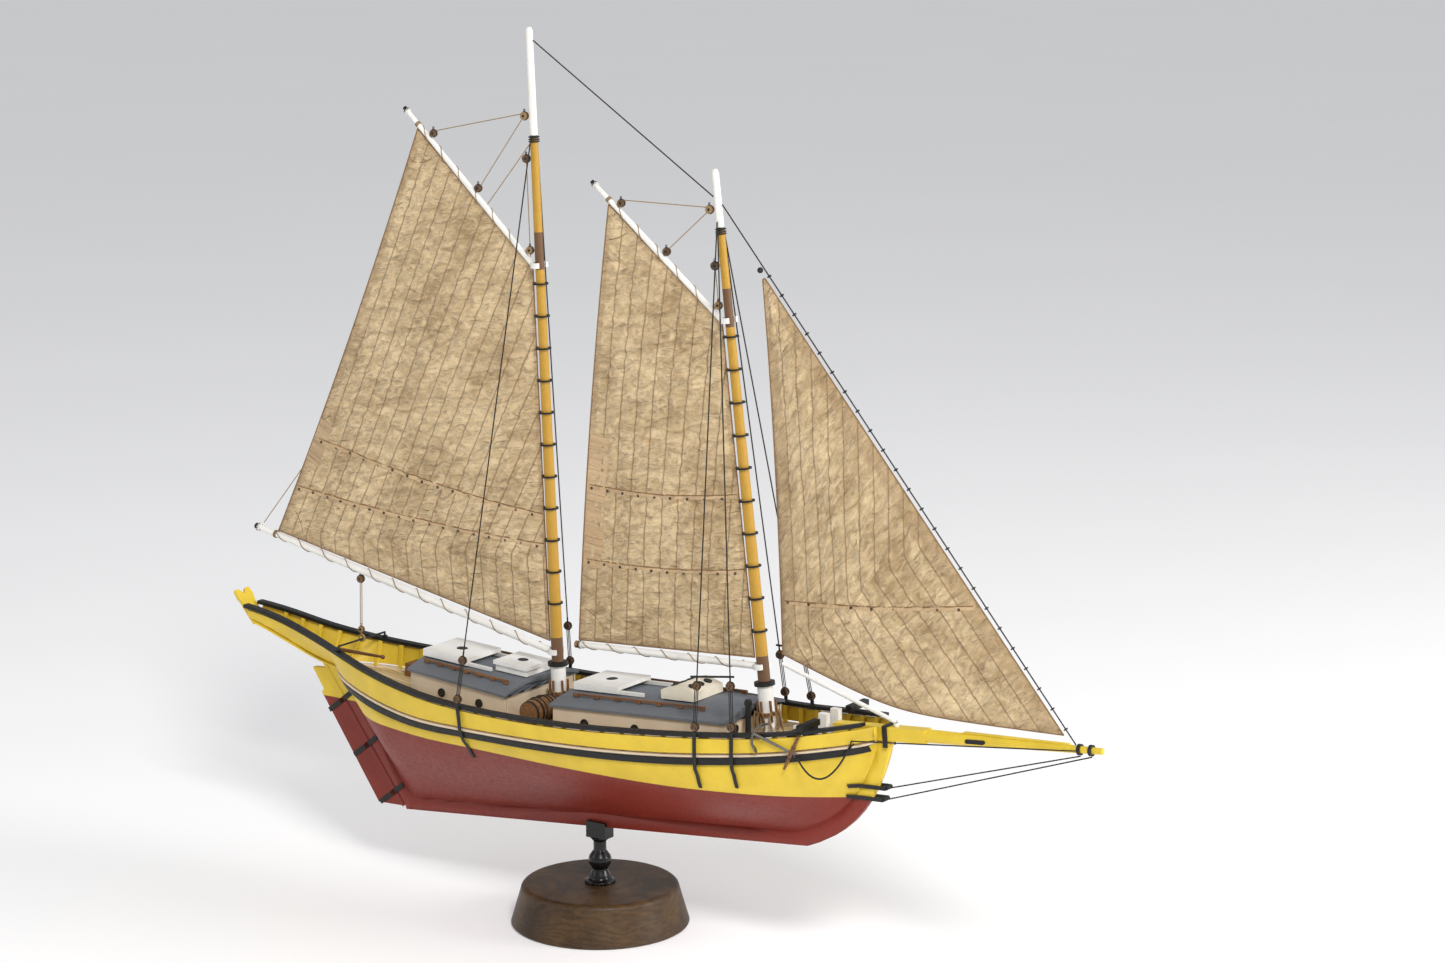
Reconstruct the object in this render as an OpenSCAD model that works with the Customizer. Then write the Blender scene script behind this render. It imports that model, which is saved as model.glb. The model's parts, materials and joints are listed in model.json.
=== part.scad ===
// Display model of a two-masted gaff schooner with a pink stern, on a turned post and round base.
// +X is the bow, +Y is port, +Z is up. The origin is the centre of the underside of the stand base.
// Boat pieces are drawn in the boat frame, whose zero is the keel bottom above the stand post.

/* [Stand] */
// Radius of the stand base at the floor
base_radius = 69; // [55:1:85]
// Height of the stand base
base_height = 32; // [24:1:40]
// Height of the turned post between the base and the keel
post_height = 45; // [36:1:54]
// Radius of the post at its narrow neck
post_neck = 5; // [4:0.25:6]

/* [Hull] */
// Length from the post to the stem head
hull_fore = 263; // [220:1:316]
// Length from the post to the sternpost head
hull_aft = 271; // [226:1:326]
// Overhang of the pink stern behind the sternpost head
pink_overhang = 79; // [66:1:95]
// Greatest breadth at the cap rails
hull_beam = 143; // [120:1:172]
// Height of the deck edge above the keel at the post
deck_height = 83; // [70:1:100]
// Height of the cap rail above the deck at the post
rail_height = 17; // [14:1:21]
// Depth of the keel below the planking
keel_depth = 10.5; // [8:0.5:12]
// Thickness of the keel, stem and sternpost
keel_thick = 6.4; // [5:0.2:8]
// Slope of the keel bottom, in degrees
keel_drag = 5.6; // [4:0.1:7]
// Thickness of the deck and the covering boards
deck_thick = 1.6; // [1.2:0.1:2.4]
// Breadth of a covering board
board_w = 9; // [7:0.5:11]
// Thickness of a bulwark plank
bulwark_t = 1.8; // [1.2:0.1:2.4]
// Slot below and above the bulwark plank
bulwark_slot = 1.4; // [1:0.1:2]
// Breadth of a cap rail
rail_w = 6.5; // [5:0.5:8]
// Thickness of a cap rail
rail_t = 2.8; // [2:0.2:3.6]
// Spacing of the bulwark stanchions
stanchion_pitch = 17; // [14:1:21]
// Depth of the wale
wale_d = 5.5; // [4:0.5:7]

/* [Cabins] */
// Height of the aft cabin side at its forward end
aft_cabin_h = 24; // [20:1:29]
// Half-breadth of the aft cabin at its forward end
aft_cabin_half = 45; // [40:1:48]
// Height of the fore cabin side at its aft end
fore_cabin_h = 22; // [18:1:26]
// Half-breadth of the fore cabin at its aft end
fore_cabin_half = 45; // [40:1:48]
// Thickness of a cabin side
cabin_t = 2; // [1.4:0.2:2.6]
// Thickness of a cabin roof
roof_t = 2; // [1.4:0.2:2.6]
// Crown of a cabin roof
roof_crown = 6; // [4:0.5:8]
// Radius of a porthole rim
port_r = 3.4; // [2.6:0.2:4]

/* [Rig] */
// Place of the main mast on the deck
main_x = -37; // [-40:1:-34]
// Rake of the main mast
main_rake = 2.5; // [1.5:0.1:3.5]
// Length of the main mast above the deck
main_len = 528; // [480:1:600]
// Place of the fore mast on the deck
fore_x = 157; // [154:1:160]
// Rake of the fore mast
fore_rake = 6.7; // [5.7:0.1:7.7]
// Length of the fore mast above the deck
fore_len = 422; // [400:1:480]
// Radius of a mast at the deck
mast_r = 4.7; // [4:0.1:5.6]
// Radius of a mast at its head
mast_top_r = 2.7; // [2.2:0.1:3.2]
// Radius of a mast's white foot
foot_r = 5.8; // [5.7:0.1:6.6]
// Height of the white foot
foot_h = 44; // [40:1:48]
// Length of the main boom
main_boom_len = 306; // [280:1:330]
// Length of the main gaff
main_gaff_len = 166; // [150:1:180]
// Length of the fore boom
fore_boom_len = 164; // [140:1:175]
// Length of the fore gaff
fore_gaff_len = 150; // [135:1:160]
// Radius of the main boom
boom_r = 3.2; // [2.6:0.1:3.8]
// Radius of a gaff
gaff_r = 2.3; // [2:0.1:2.8]
// Thickness of the sailcloth with its seams
sail_t = 0.9; // [0.6:0.1:1.4]
// Outboard length of the bowsprit from the stem head
sprit_len = 171; // [150:1:185]
// Half-breadth of the bowsprit at the stem
sprit_half = 5; // [4:0.25:5.5]
// Radius of a stay or shroud
stay_r = 0.5; // [0.4:0.05:0.7]
// Radius of a running line
line_r = 0.35; // [0.3:0.05:0.5]

/* [Moving parts] */
// Radius of the rudder stock
stock_r = 2.6; // [2.2:0.1:2.8]
// Radius of a rudder pintle
pintle_r = 1.0; // [0.8:0.05:1.3]
// Running clearance of a pin in its bore
pin_play = 0.05; // [0.02:0.01:0.09]
// Clearance between a turning ring and its mast
ring_play = 0.4; // [0.3:0.05:0.6]
// Radius of the windlass barrel
barrel_r = 4.5; // [3.5:0.25:5.5]
// Length of the aft sliding hatch
hatch_len = 44; // [38:1:50]
// Breadth of the sliding hatches
hatch_w = 34; // [28:1:38]

/* [Hidden] */
fine = 48;
gap = 0.2;                       // gap between glued pieces whose faces curve
lift = base_height + post_height;
keel_half = keel_thick / 2;
beam_half = hull_beam / 2;

// ---- smooth curves through short tables of [place, value] ----
function slope(t, i) =
  i == 0 ? (t[1][1] - t[0][1]) / (t[1][0] - t[0][0]) :
  i == len(t) - 1 ? (t[i][1] - t[i - 1][1]) / (t[i][0] - t[i - 1][0]) :
  (t[i + 1][1] - t[i - 1][1]) / (t[i + 1][0] - t[i - 1][0]);
function span(t, x, i = 0) = (i >= len(t) - 2 || x < t[i + 1][0]) ? i : span(t, x, i + 1);
function spline(t, x) =
  let (i = span(t, x), h = t[i + 1][0] - t[i][0], u = (x - t[i][0]) / h)
  t[i][1] * (2 * u ^ 3 - 3 * u ^ 2 + 1) + t[i + 1][1] * (3 * u ^ 2 - 2 * u ^ 3)
  + h * (slope(t, i) * (u ^ 3 - 2 * u ^ 2 + u) + slope(t, i + 1) * (u ^ 3 - u ^ 2));
function mix(a, b, t) = a + (b - a) * t;
function bezier(p, q, r, t) = (1 - t) ^ 2 * p + 2 * t * (1 - t) * q + t ^ 2 * r;

// ---- hull lines: stations are fractions of the fore or aft length ----
PLAN = [[-1.4, 0.13], [-1.2, 0.165], [-1.05, 0.235], [-0.9, 0.385], [-0.75, 0.58], [-0.6, 0.755],
        [-0.45, 0.9], [-0.3, 0.965], [0, 1], [0.2, 0.975], [0.4, 0.88], [0.6, 0.715],
        [0.75, 0.575], [0.87, 0.385], [0.95, 0.235], [1, 0.1]];
DECK = [[-1.4, 43], [-1.2, 28], [-1, 11], [-0.8, 2.5], [-0.54, -4.3], [-0.25, -3.2], [0, -0.6],
        [0.38, 5.4], [0.63, 11.8], [0.8, 18.5], [0.95, 25.5], [1, 28]];
RAIL = [[-1.4, 31.5], [-1.2, 26.5], [-1, 16.3], [-0.8, 7.6], [-0.6, 2.2], [-0.3, -1.3], [0, -0.2],
        [0.3, 4.4], [0.6, 10], [0.8, 17.2], [1, 27.5]];
FULL = [[-1, 2.8], [-0.7, 3.1], [-0.5, 2.6], [-0.3, 2.1], [0, 2.4], [0.2, 2.9], [0.45, 3.8],
        [0.6, 3.8], [0.75, 2.9], [1, 2.8]];
function part(x) = x < 0 ? x / hull_aft : x / hull_fore;
function rail_half(x) = beam_half * spline(PLAN, part(x));
function deck_z(x) = deck_height + spline(DECK, part(x));
function rail_z(x) = deck_height + rail_height + spline(RAIL, part(x));
function keel_z(x) = x * tan(keel_drag);

// Outer edge of the sternpost, and the bearding line where the planking meets the keel
post_run = 80;
heel = [-(hull_aft - post_run), keel_z(-(hull_aft - post_run)) + 3.6];
stern_top = [-hull_aft, deck_z(-hull_aft) - 3];
stern_slope = (heel[0] - stern_top[0]) / (stern_top[1] - heel[1]);
rabbet_in = 12;
toe_x = hull_fore - 70.5;
stem_top = [hull_fore, deck_z(hull_fore - 2) - 0.6];
block_fore = hull_fore - 11;
block_top_fore = deck_z(block_fore) - deck_thick;
fore_keel = [hull_fore - 77, keel_z(hull_fore - 77) + keel_depth];
fore_ctrl = [hull_fore - 25, keel_z(hull_fore - 77) + keel_depth + 19];
fore_head = [block_fore, block_top_fore - 2.6];
block_aft = -hull_aft + 16;
function bow_t(x) =
  let (a = fore_keel[0] - 2 * fore_ctrl[0] + fore_head[0], b = 2 * (fore_ctrl[0] - fore_keel[0]))
  (-b + sqrt(b ^ 2 - 4 * a * (fore_keel[0] - x))) / (2 * a);
function rabbet_z(x) =
  x > fore_keel[0] ? bezier(fore_keel[1], fore_ctrl[1], fore_head[1], bow_t(x)) :
  max(keel_z(x) + keel_depth, heel[1] + (heel[0] + rabbet_in - x) / stern_slope);
function side_half(x, z) =
  let (s = part(x), low = rabbet_z(x), u = max(0, min(1, (z - low) / (rail_z(x) - low))),
       hollow = 1.15 + 0.25 * s ^ 2)
  norm([keel_half, rail_half(x) * (1 - (1 - u ^ hollow) ^ spline(FULL, s))]);
// Half-breadth of the deck edge, which leaves room for the pink stern's floor and the bowsprit
floor_half = 9;
bow_half = sprit_half + bulwark_t + 0.5;
function edge_half(x) = x < block_aft ? floor_half
  : max(side_half(x, deck_z(x)), x < 0 ? floor_half : bow_half);
function board_in(x) = max(edge_half(x) - board_w, 0.1);

// ---- loft: a closed solid through rings of equal point counts ----
module loft(rings) {
  n = len(rings[0]);
  m = len(rings);
  points = [for (r = rings) each r];
  walls = [for (i = [0:m - 2], j = [0:n - 1])
    let (k = (j + 1) % n) each [[i * n + j, i * n + k, (i + 1) * n + k],
                               [i * n + j, (i + 1) * n + k, (i + 1) * n + j]]];
  ends = [[for (j = [n - 1:-1:0]) j], [for (j = [0:n - 1]) (m - 1) * n + j]];
  polyhedron(points, concat(walls, ends), convexity = 6);
}
// A strake is a loft whose ring has four corners, all functions of x; side is -1 or 1
module strake(xs, y_in_low, y_out_low, y_out_top, y_in_top, z_low, z_top, side) {
  loft([for (x = xs) let (c = [[y_in_low(x), z_low(x)], [y_out_low(x), z_low(x)],
                               [y_out_top(x), z_top(x)], [y_in_top(x), z_top(x)]])
    [for (k = [0:3]) let (p = c[side > 0 ? k : 3 - k]) [x, side * p[0], p[1]]]]);
}
function stations(a, b, n) = [for (k = [0:n]) mix(a, b, (1 - cos(180 * k / n)) / 2)];
function pulled(p, q, r, w, t) =
  ((1 - t) ^ 2 * p + 2 * w * t * (1 - t) * q + t ^ 2 * r) / ((1 - t) ^ 2 + 2 * w * t * (1 - t) + t ^ 2);
function evenly(a, b, n) = [for (k = [0:n]) mix(a, b, k / n)];
module rod(p, q, r, r2 = -1) {
  d = q - p;
  translate(p) rotate([0, acos(d[2] / norm(d)), atan2(d[1], d[0])])
    cylinder(h = norm(d), r1 = r, r2 = r2 < 0 ? r : r2, $fn = 24);
}
function around(p, way, r, n) = let (side = cross(way, [0, 0, 1]), up = cross(side, way))
  [for (k = [0:n - 1]) p + r * (side / norm(side) * cos(360 * k / n) + up / norm(up) * sin(360 * k / n))];
module ring(r_in, r_out, h) {
  rotate_extrude($fn = fine) translate([r_in, -h / 2]) square([r_out - r_in, h]);
}
module block_shape(size) {
  rotate([90, 0, 0]) translate([0, 0, -size * 0.3]) cylinder(h = size * 0.6, r = size / 2, $fn = 24);
}
module boat() translate([0, 0, lift]) children();
module both() {
  children();
  mirror([0, 1, 0]) children();
}

hull_xs = stations(block_aft, block_fore, 44);
function hull_ring(x) =
  let (low = rabbet_z(x), top = deck_z(x) - deck_thick, levels = 9,
       zs = [for (k = [0:levels]) mix(low, top, (k / levels) ^ 1.15)])
  concat([for (z = zs) [x, side_half(x, z), z]],
         [for (k = [levels:-1:0]) [x, -side_half(x, zs[k]), zs[k]]]);

// ---- stand ----
module stand_base() color("saddlebrown")
  rotate_extrude($fn = fine * 2) polygon(concat([[0, 0], [base_radius - 1.5, 0], [base_radius, 1.5]],
    [for (a = [0:15:90]) [base_radius - 12.5 + 5 * cos(a), base_height - 5 + 5 * sin(a)]],
    [[0, base_height]]));

module stand_post() color("black")
  translate([0, 0, base_height])
    rotate_extrude($fn = fine) polygon(concat([[0, 0], [12, 0], [12, 2]],
      [for (a = [0:30:90]) [12 - 4 * sin(a), 6 - 4 * cos(a)]],
      [[post_neck + 1, 11]],
      [for (a = [-60:30:60]) [post_neck + 4 * cos(a), 18 + 6 * sin(a)]],
      [[post_neck, 26], [post_neck, post_height - 12], [post_neck + 2.5, post_height - 9],
       [0, post_height - 9]]));

module keel_saddle() color("black") boat() difference() {
  translate([-9, -keel_half - 2.6, -9]) cube([18, keel_thick + 5.2, 13]);
  rotate([0, -keel_drag, 0]) translate([-15, -keel_half - 0.1, 0]) cube([30, keel_thick + 0.2, 30]);
}

// ---- hull ----
module hull_block() color("goldenrod") boat() loft([for (x = hull_xs) hull_ring(x)]);

module hull_backbone() color("firebrick") boat()
  rotate([90, 0, 0]) linear_extrude(keel_thick, center = true) polygon(concat(
    [[block_aft, deck_z(block_aft) - deck_thick], stern_top, heel, [heel[0] + 1, keel_z(heel[0] + 1)]],
    [for (t = [0:0.1:1]) bezier([toe_x, keel_z(toe_x)], [hull_fore - 13, keel_z(toe_x) + 22], stem_top, t)],
    [[block_fore, stem_top[1] - 0.8], [block_fore, block_top_fore]],
    [for (k = [len(hull_xs) - 1:-1:0]) [hull_xs[k], rabbet_z(hull_xs[k])]]));

wale_xs = [for (x = hull_xs) if (x > 24 - hull_aft && x < block_fore - 2) x];
wale_gap = 0.5;
module wale_strakes() color("black") boat() both()
  strake(wale_xs, function (x) side_half(x, deck_z(x) - deck_thick - wale_d) + wale_gap,
    function (x) side_half(x, deck_z(x) - deck_thick - wale_d) + wale_gap + 1.4,
    function (x) side_half(x, deck_z(x) - deck_thick) + wale_gap + 1.4,
    function (x) side_half(x, deck_z(x) - deck_thick) + wale_gap,
    function (x) deck_z(x) - deck_thick - wale_d, function (x) deck_z(x) - deck_thick - gap, -1);

module covering_boards() color("wheat") boat() both()
  strake(hull_xs, function (x) board_in(x), function (x) edge_half(x) + 0.8,
    function (x) edge_half(x) + 0.8, function (x) board_in(x),
    function (x) deck_z(x) - deck_thick, function (x) deck_z(x), -1);

module deck_planking() color("burlywood") boat() difference() {
  xs = [for (x = hull_xs) if (edge_half(x) - board_w > 1) x];
  loft([for (x = xs) let (b = board_in(x), lo = deck_z(x) - deck_thick, hi = deck_z(x))
    [[x, b, lo], [x, b, hi], [x, -b, hi], [x, -b, lo]]]);
  for (m = [[main_x, main_rake], [fore_x, fore_rake]]) mast_frame(m[0], m[1])
    translate([0, 0, -10]) cylinder(h = 20, r = foot_r + gap, $fn = fine);
}

pink_tip = -(hull_aft + pink_overhang);
pink_xs = evenly(block_aft - gap, pink_tip + 6, 10);
module rudder_frame() translate([heel[0], 0, heel[1]])
  rotate([0, -atan(stern_slope), 0]) translate([-stock_r - 0.6, 0, 0]) children();
module pink_floor() color("gold") boat() difference() {
  loft([for (x = pink_xs) let (lo = deck_z(x) - deck_thick, hi = deck_z(x), b = floor_half + 0.8)
    [[x, b, lo], [x, b, hi], [x, -b, hi], [x, -b, lo]]]);
  rudder_frame() cylinder(h = 400, r = stock_r + 0.6, $fn = fine);
}

// The notched board that closes the pink stern, leaning aft
tail_t = 3;
tail_lean = 38;
module tailboard() color("gold") boat()
  translate([pink_tip + 6 - gap - tail_t * cos(tail_lean), 0,
             deck_z(pink_tip + 6) - deck_thick - tail_t * sin(tail_lean)])
    rotate([0, -tail_lean, 0]) rotate([90, 0, 90]) linear_extrude(tail_t) polygon(
      [[-6.5, -1], [6.5, -1], [7.6, 14], [7.6, 20], [9, 24], [8, 31], [4, 31], [0, 26],
       [-4, 31], [-8, 31], [-9, 24], [-7.6, 20], [-7.6, 14]]);

bulwark_aft = pink_tip + 1;
bulwark_fore = hull_fore - 7;
bulwark_xs = concat(evenly(bulwark_aft, block_aft, 9),
  [for (x = stations(block_aft, bulwark_fore, 30)) if (x > block_aft + 1) x]);
module bulwark() strake(bulwark_xs, function (x) edge_half(x) - bulwark_t,
  function (x) edge_half(x), function (x) rail_half(x), function (x) rail_half(x) - bulwark_t,
  function (x) deck_z(x) + bulwark_slot,
  function (x) max(rail_z(x) - rail_t - bulwark_slot, deck_z(x) + bulwark_slot + 3), -1);
module bulwark_starboard() color("gold") boat() bulwark();
module bulwark_port() color("gold") boat() mirror([0, 1, 0]) bulwark();

rail_aft = pink_tip - 2;
rail_fore = hull_fore - 15;
module cap_rail() strake(concat(evenly(rail_aft, block_aft, 8),
    [for (x = stations(block_aft, rail_fore, 30)) if (x > block_aft + 1) x]),
  function (x) rail_half(x) + 1.4 - rail_w, function (x) rail_half(x) + 1.4,
  function (x) rail_half(x) + 1.4, function (x) rail_half(x) + 1.4 - rail_w,
  function (x) rail_z(x) - rail_t, function (x) rail_z(x), -1);
module cap_rail_starboard() color("black") boat() cap_rail();
module cap_rail_port() color("black") boat() mirror([0, 1, 0]) cap_rail();

// Stanchions stand on the covering boards inside the bulwarks and carry the cap rails
stanchion_w = 3;
stanchion_d = 2.4;
stanchion_first = rail_aft + 28;
stanchions = floor((rail_fore - 8 - stanchion_first) / stanchion_pitch);
stanchion_gap = 0.9;
module stanchion(x) {
  x2 = x + stanchion_w;
  lo = deck_z(x) + bulwark_slot;
  hi = rail_z(x) - rail_t - bulwark_slot;
  foot_in = min(edge_half(x), edge_half(x2)) - bulwark_t - stanchion_gap;
  head_in = min(rail_half(x), rail_half(x2)) - bulwark_t - stanchion_gap;
  lean = (head_in - foot_in) / (hi - lo);
  loft([for (s = [x, x2]) let (zl = deck_z(s) + gap, zh = rail_z(s) - rail_t - gap,
    low = foot_in - lean * (lo - zl), top = head_in + lean * (zh - hi))
    [[s, -low, zl], [s, -top, zh], [s, -top + stanchion_d, zh], [s, -low + stanchion_d, zl]]]);
}
module rail_stanchions() color("gold") boat() both()
  for (k = [0:stanchions]) stanchion(stanchion_first + k * stanchion_pitch);

// ---- rudder: drawn with its hinge line as local Z, zero at the heel ----
rudder_len = (stern_top[1] - heel[1]) * sqrt(1 + stern_slope ^ 2);
strap_z = [14, 58, 100];
strap_h = 4;
rudder_w = 4.8;
module rudder_blade() color("firebrick") boat() rudder_frame() difference() {
  union() {
    rotate([90, 0, 0]) linear_extrude(rudder_w, center = true) polygon([[0, 0.5], [0, rudder_len - 4],
      [-13, rudder_len + 4], [-14, rudder_len - 16], [-17.5, rudder_len - 17], [-17.5, rudder_len - 22],
      [-21, 15]]);
    translate([0, 0, 0.5]) cylinder(h = rudder_len + 11.5, r = stock_r, $fn = fine);
  }
  for (z = strap_z) translate([0, 0, z - strap_h / 2 - 0.4]) {
    difference() {
      translate([-3.8, -5, 0]) cube([10, 10, strap_h + 0.8]);
      translate([0, 0, -0.1]) cylinder(h = strap_h + 1, r = pintle_r, $fn = fine);
    }
  }
}
module strap_arm(len_arm) translate([-len_arm, 0, 0]) both()
  translate([0, rudder_w / 2 + 0.1, -strap_h / 2]) cube([len_arm - 4.2, 0.9, strap_h]);
module rudder_straps() color("black") boat() rudder_frame()
  for (z = strap_z) translate([0, 0, z]) strap_arm(19);
gudgeon_len = stock_r + rabbet_in * cos(atan(stern_slope)) - 2;
module rudder_gudgeons() color("black") boat() rudder_frame() for (z = strap_z) translate([0, 0, z]) {
  ring(pintle_r + pin_play, 2.5, strap_h);
  difference() {
    both() translate([1.6, keel_half - 1.4, -strap_h / 2]) cube([gudgeon_len, 2.4, strap_h]);
    translate([stock_r + 0.35, -keel_half - 0.1, -strap_h])
      cube([40, keel_thick + 0.2, 2 * strap_h]);
    cylinder(h = 3 * strap_h, r = pintle_r + pin_play + 0.3, center = true, $fn = fine);
  }
}
tiller_len = 66;
module tiller() color("sienna") boat() rudder_frame()
  translate([0, 0, rudder_len + 12.6]) rotate([0, atan(stern_slope), 0]) {
    rod([-4, 0, 3], [tiller_len, 0, 3.5], 2, 1.1);
    translate([tiller_len + 1, 0, 3.5]) sphere(r = 1.8, $fn = 24);
  }

// ---- sheet horse, cockpit ----
horse_x = main_x - 198.6;
horse_half = rail_half(horse_x) + 1.4 - rail_w / 2;
horse_z = rail_z(horse_x) + 4;
horse_r = 0.8;
module sheet_horse() color("black") boat() {
  rod([horse_x, -horse_half, horse_z], [horse_x, horse_half, horse_z], horse_r);
  both() {
    translate([horse_x, horse_half, horse_z]) sphere(r = horse_r, $fn = 24);
    rod([horse_x, horse_half, rail_z(horse_x) + 1.2], [horse_x, horse_half, horse_z], horse_r);
    translate([horse_x, horse_half, rail_z(horse_x) + 0.4]) cylinder(h = 1, r = 2.2, $fn = fine);
  }
}
bench_aft = -206;
bench_fore = -162;
module cockpit_bench() color("peru") boat() {
  both() strake(evenly(bench_aft, bench_fore, 5), function (x) edge_half(x) - 22,
    function (x) edge_half(x) - 7, function (x) edge_half(x) - 7, function (x) edge_half(x) - 22,
    function (x) deck_z(x) + 9, function (x) deck_z(x) + 11, -1);
  both() strake(evenly(bench_aft, bench_fore, 5), function (x) edge_half(x) - 22,
    function (x) edge_half(x) - 20, function (x) edge_half(x) - 20, function (x) edge_half(x) - 22,
    function (x) deck_z(x) + gap, function (x) deck_z(x) + 9, -1);
}

// ---- cabins: each is [aft x, fore x, half-breadth aft, half-breadth fore, eave z aft, eave z fore]
aft_cab = [-154, -56, aft_cabin_half - 7, aft_cabin_half,
           deck_z(-56) + aft_cabin_h + 5, deck_z(-56) + aft_cabin_h];
fore_cab = [-10, 142, fore_cabin_half, fore_cabin_half - 7,
            deck_z(-10) + fore_cabin_h, deck_z(-10) + fore_cabin_h + 8];
function cab_t(c, x) = (x - c[0]) / (c[1] - c[0]);
function cab_half(c, x) = mix(c[2], c[3], cab_t(c, x));
function eave_z(c, x) = mix(c[4], c[5], cab_t(c, x));
function crown_z(c, x, y) = eave_z(c, x) + roof_crown * (1 - (y / cab_half(c, x)) ^ 2);
module cabin_sides(c) {
  xs = evenly(c[0], c[1], 12);
  both() strake(xs, function (x) cab_half(c, x) - cabin_t, function (x) cab_half(c, x),
    function (x) cab_half(c, x), function (x) cab_half(c, x) - cabin_t,
    function (x) deck_z(x) + gap, function (x) eave_z(c, x) - gap, -1);
  for (e = [[c[0], 1], [c[1], -1]]) let (x1 = min(e[0], e[0] + e[1] * cabin_t),
      half = cab_half(c, e[0]) - cabin_t - 1, ys = evenly(-half, half, 10))
    loft([for (y = ys) let (lo = deck_z(x1 + cabin_t) + gap, hi = crown_z(c, e[0], y) - 0.5)
      [[x1, y, hi], [x1 + cabin_t, y, hi], [x1 + cabin_t, y, lo], [x1, y, lo]]]);
}
roof_over = 2;
module cabin_roof(c) {
  n = 14;
  loft([for (x = evenly(c[0] - roof_over, c[1] + roof_over, 8)) let (h = cab_half(c, x) + roof_over)
    concat([for (k = [0:n]) let (y = mix(h, -h, k / n)) [x, y, crown_z(c, x, y)]],
           [for (k = [n:-1:0]) let (y = mix(h, -h, k / n)) [x, y, crown_z(c, x, y) + roof_t]])]);
}
module aft_cabin_sides() color("antiquewhite") boat() cabin_sides(aft_cab);
module aft_cabin_roof() color("slategray") boat() cabin_roof(aft_cab);
module fore_cabin_sides() color("antiquewhite") boat() cabin_sides(fore_cab);
module fore_cabin_roof() color("slategray") boat() cabin_roof(fore_cab);

// A frame on the roof's crown line: local X runs along the crown, zero at place x
module roof_frame(c, x) translate([x, 0, crown_z(c, x, 0) + roof_t])
  rotate([0, -atan((c[5] - c[4]) / (c[1] - c[0])), 0]) children();
rail_foot_h = 1.6;
grab_place = 0.72;
module grab_rail(c, x1, x2) {
  n = 6;
  turn = atan(grab_place * (cab_half(c, x1) - cab_half(c, x2)) / (x2 - x1));
  roof_frame(c, x1) translate([0, -grab_place * cab_half(c, x1), 2 * gap - roof_crown * grab_place ^ 2])
    rotate([0, 0, turn]) {
    translate([0, -1, rail_foot_h]) cube([x2 - x1, 2, 1.6]);
    for (k = [0:n]) translate([k * (x2 - x1 - 5) / n, -1, 0.1]) cube([5, 2, rail_foot_h - 0.1]);
  }
}
// Hatch coaming, runners and grab rails
runner_w = 2;
runner_h = 3;
hatch_y = hatch_w / 2;
runner_y = hatch_y + 0.4;
function drop(c, x, y) = crown_z(c, x, 0) - crown_z(c, x, y);
function runner_z(c) = gap - min(drop(c, c[0], runner_y), drop(c, c[1], runner_y));
module runners(c, x1, x2) both() roof_frame(c, x1)
  translate([0, runner_y, runner_z(c)]) cube([x2 - x1, runner_w, runner_h]);
aft_hatch_x = -155;
fore_hatch_x = -8;
fore_hatch_len = 42;
slide_travel = 20;
module aft_roof_trim() color("sienna") boat() {
  both() grab_rail(aft_cab, -148, -62);
  runners(aft_cab, aft_hatch_x + 2, aft_hatch_x + hatch_len + slide_travel + 2);
}
module fore_roof_trim() color("sienna") boat() {
  both() grab_rail(fore_cab, 0, 118);
  runners(fore_cab, fore_hatch_x + 2, fore_hatch_x + fore_hatch_len + slide_travel + 2);
}
// A sliding hatch lies over its runners with side cleats outside them
hatch_lid = 3;
hatch_lift = runner_h + 0.3;
cleat_w = 1.6;
module slide_hatch(c, x, length) roof_frame(c, x) {
  side_y = runner_y + runner_w + 0.3;
  base_z = runner_z(c);
  difference() {
    translate([0, -side_y - cleat_w, base_z + hatch_lift]) cube([length, 2 * (side_y + cleat_w), hatch_lid]);
    translate([length / 2, 0, base_z + hatch_lift + hatch_lid - 0.6]) cylinder(h = 2, r = 4.5, $fn = fine);
  }
  both() translate([0, side_y, base_z + 0.7]) cube([length, cleat_w, hatch_lift - 0.7]);
  translate([length / 2, 0, base_z + hatch_lift + hatch_lid - 0.6]) cylinder(h = 0.8, r = 4.2, $fn = fine);
}
module aft_slide_hatch() color("white") boat() slide_hatch(aft_cab, aft_hatch_x, hatch_len);
module fore_slide_hatch() color("white") boat() slide_hatch(fore_cab, fore_hatch_x, fore_hatch_len);

lift_x = -88;
lift_len = 30;
lift_half = 15;
module aft_lift_hatch() color("white") boat() roof_frame(aft_cab, lift_x) {
  low = -drop(aft_cab, lift_x, 0) + gap;
  difference() {
    translate([0, -lift_half, low]) cube([lift_len, 2 * lift_half, 5]);
    translate([2, 2 - lift_half, low - 1]) cube([lift_len - 4, 2 * lift_half - 4, 4]);
  }
  difference() {
    translate([-1.5, -lift_half - 1.5, low + 5]) cube([lift_len + 3, 2 * lift_half + 3, 3]);
    translate([lift_len / 2, 0, low + 7.4]) cylinder(h = 2, r = 4.3, $fn = fine);
  }
  translate([lift_len / 2, 0, low + 7.4]) cylinder(h = 0.8, r = 4, $fn = fine);
}

sky_x = 72;
sky_len = 30;
sky_half = 19;
module skylight() color("antiquewhite") boat() roof_frame(fore_cab, sky_x) {
  rotate([90, 0, 0]) linear_extrude(2 * sky_half, center = true)
    polygon([[0, gap], [sky_len, gap], [sky_len, 7], [sky_len / 2, 11.5], [0, 7]]);
  for (y = [-10, 0, 10], s = [-1, 1]) translate([sky_len / 2 + s * 7.8, y, 9.3])
    rotate([0, s * 16.7, 0]) cylinder(h = 0.9, r = 3.2, $fn = fine);
}

pipe_x = 151;
pipe_y = -20;
module stove_pipe() color("black") boat() translate([pipe_x, pipe_y, deck_z(pipe_x + 3.4) + gap]) {
  cylinder(h = 34, r = 2.2, $fn = fine);
  translate([0, 0, 30]) cylinder(h = 3, r = 3, $fn = fine);
  cylinder(h = 1.5, r = 3.4, $fn = fine);
}

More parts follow.
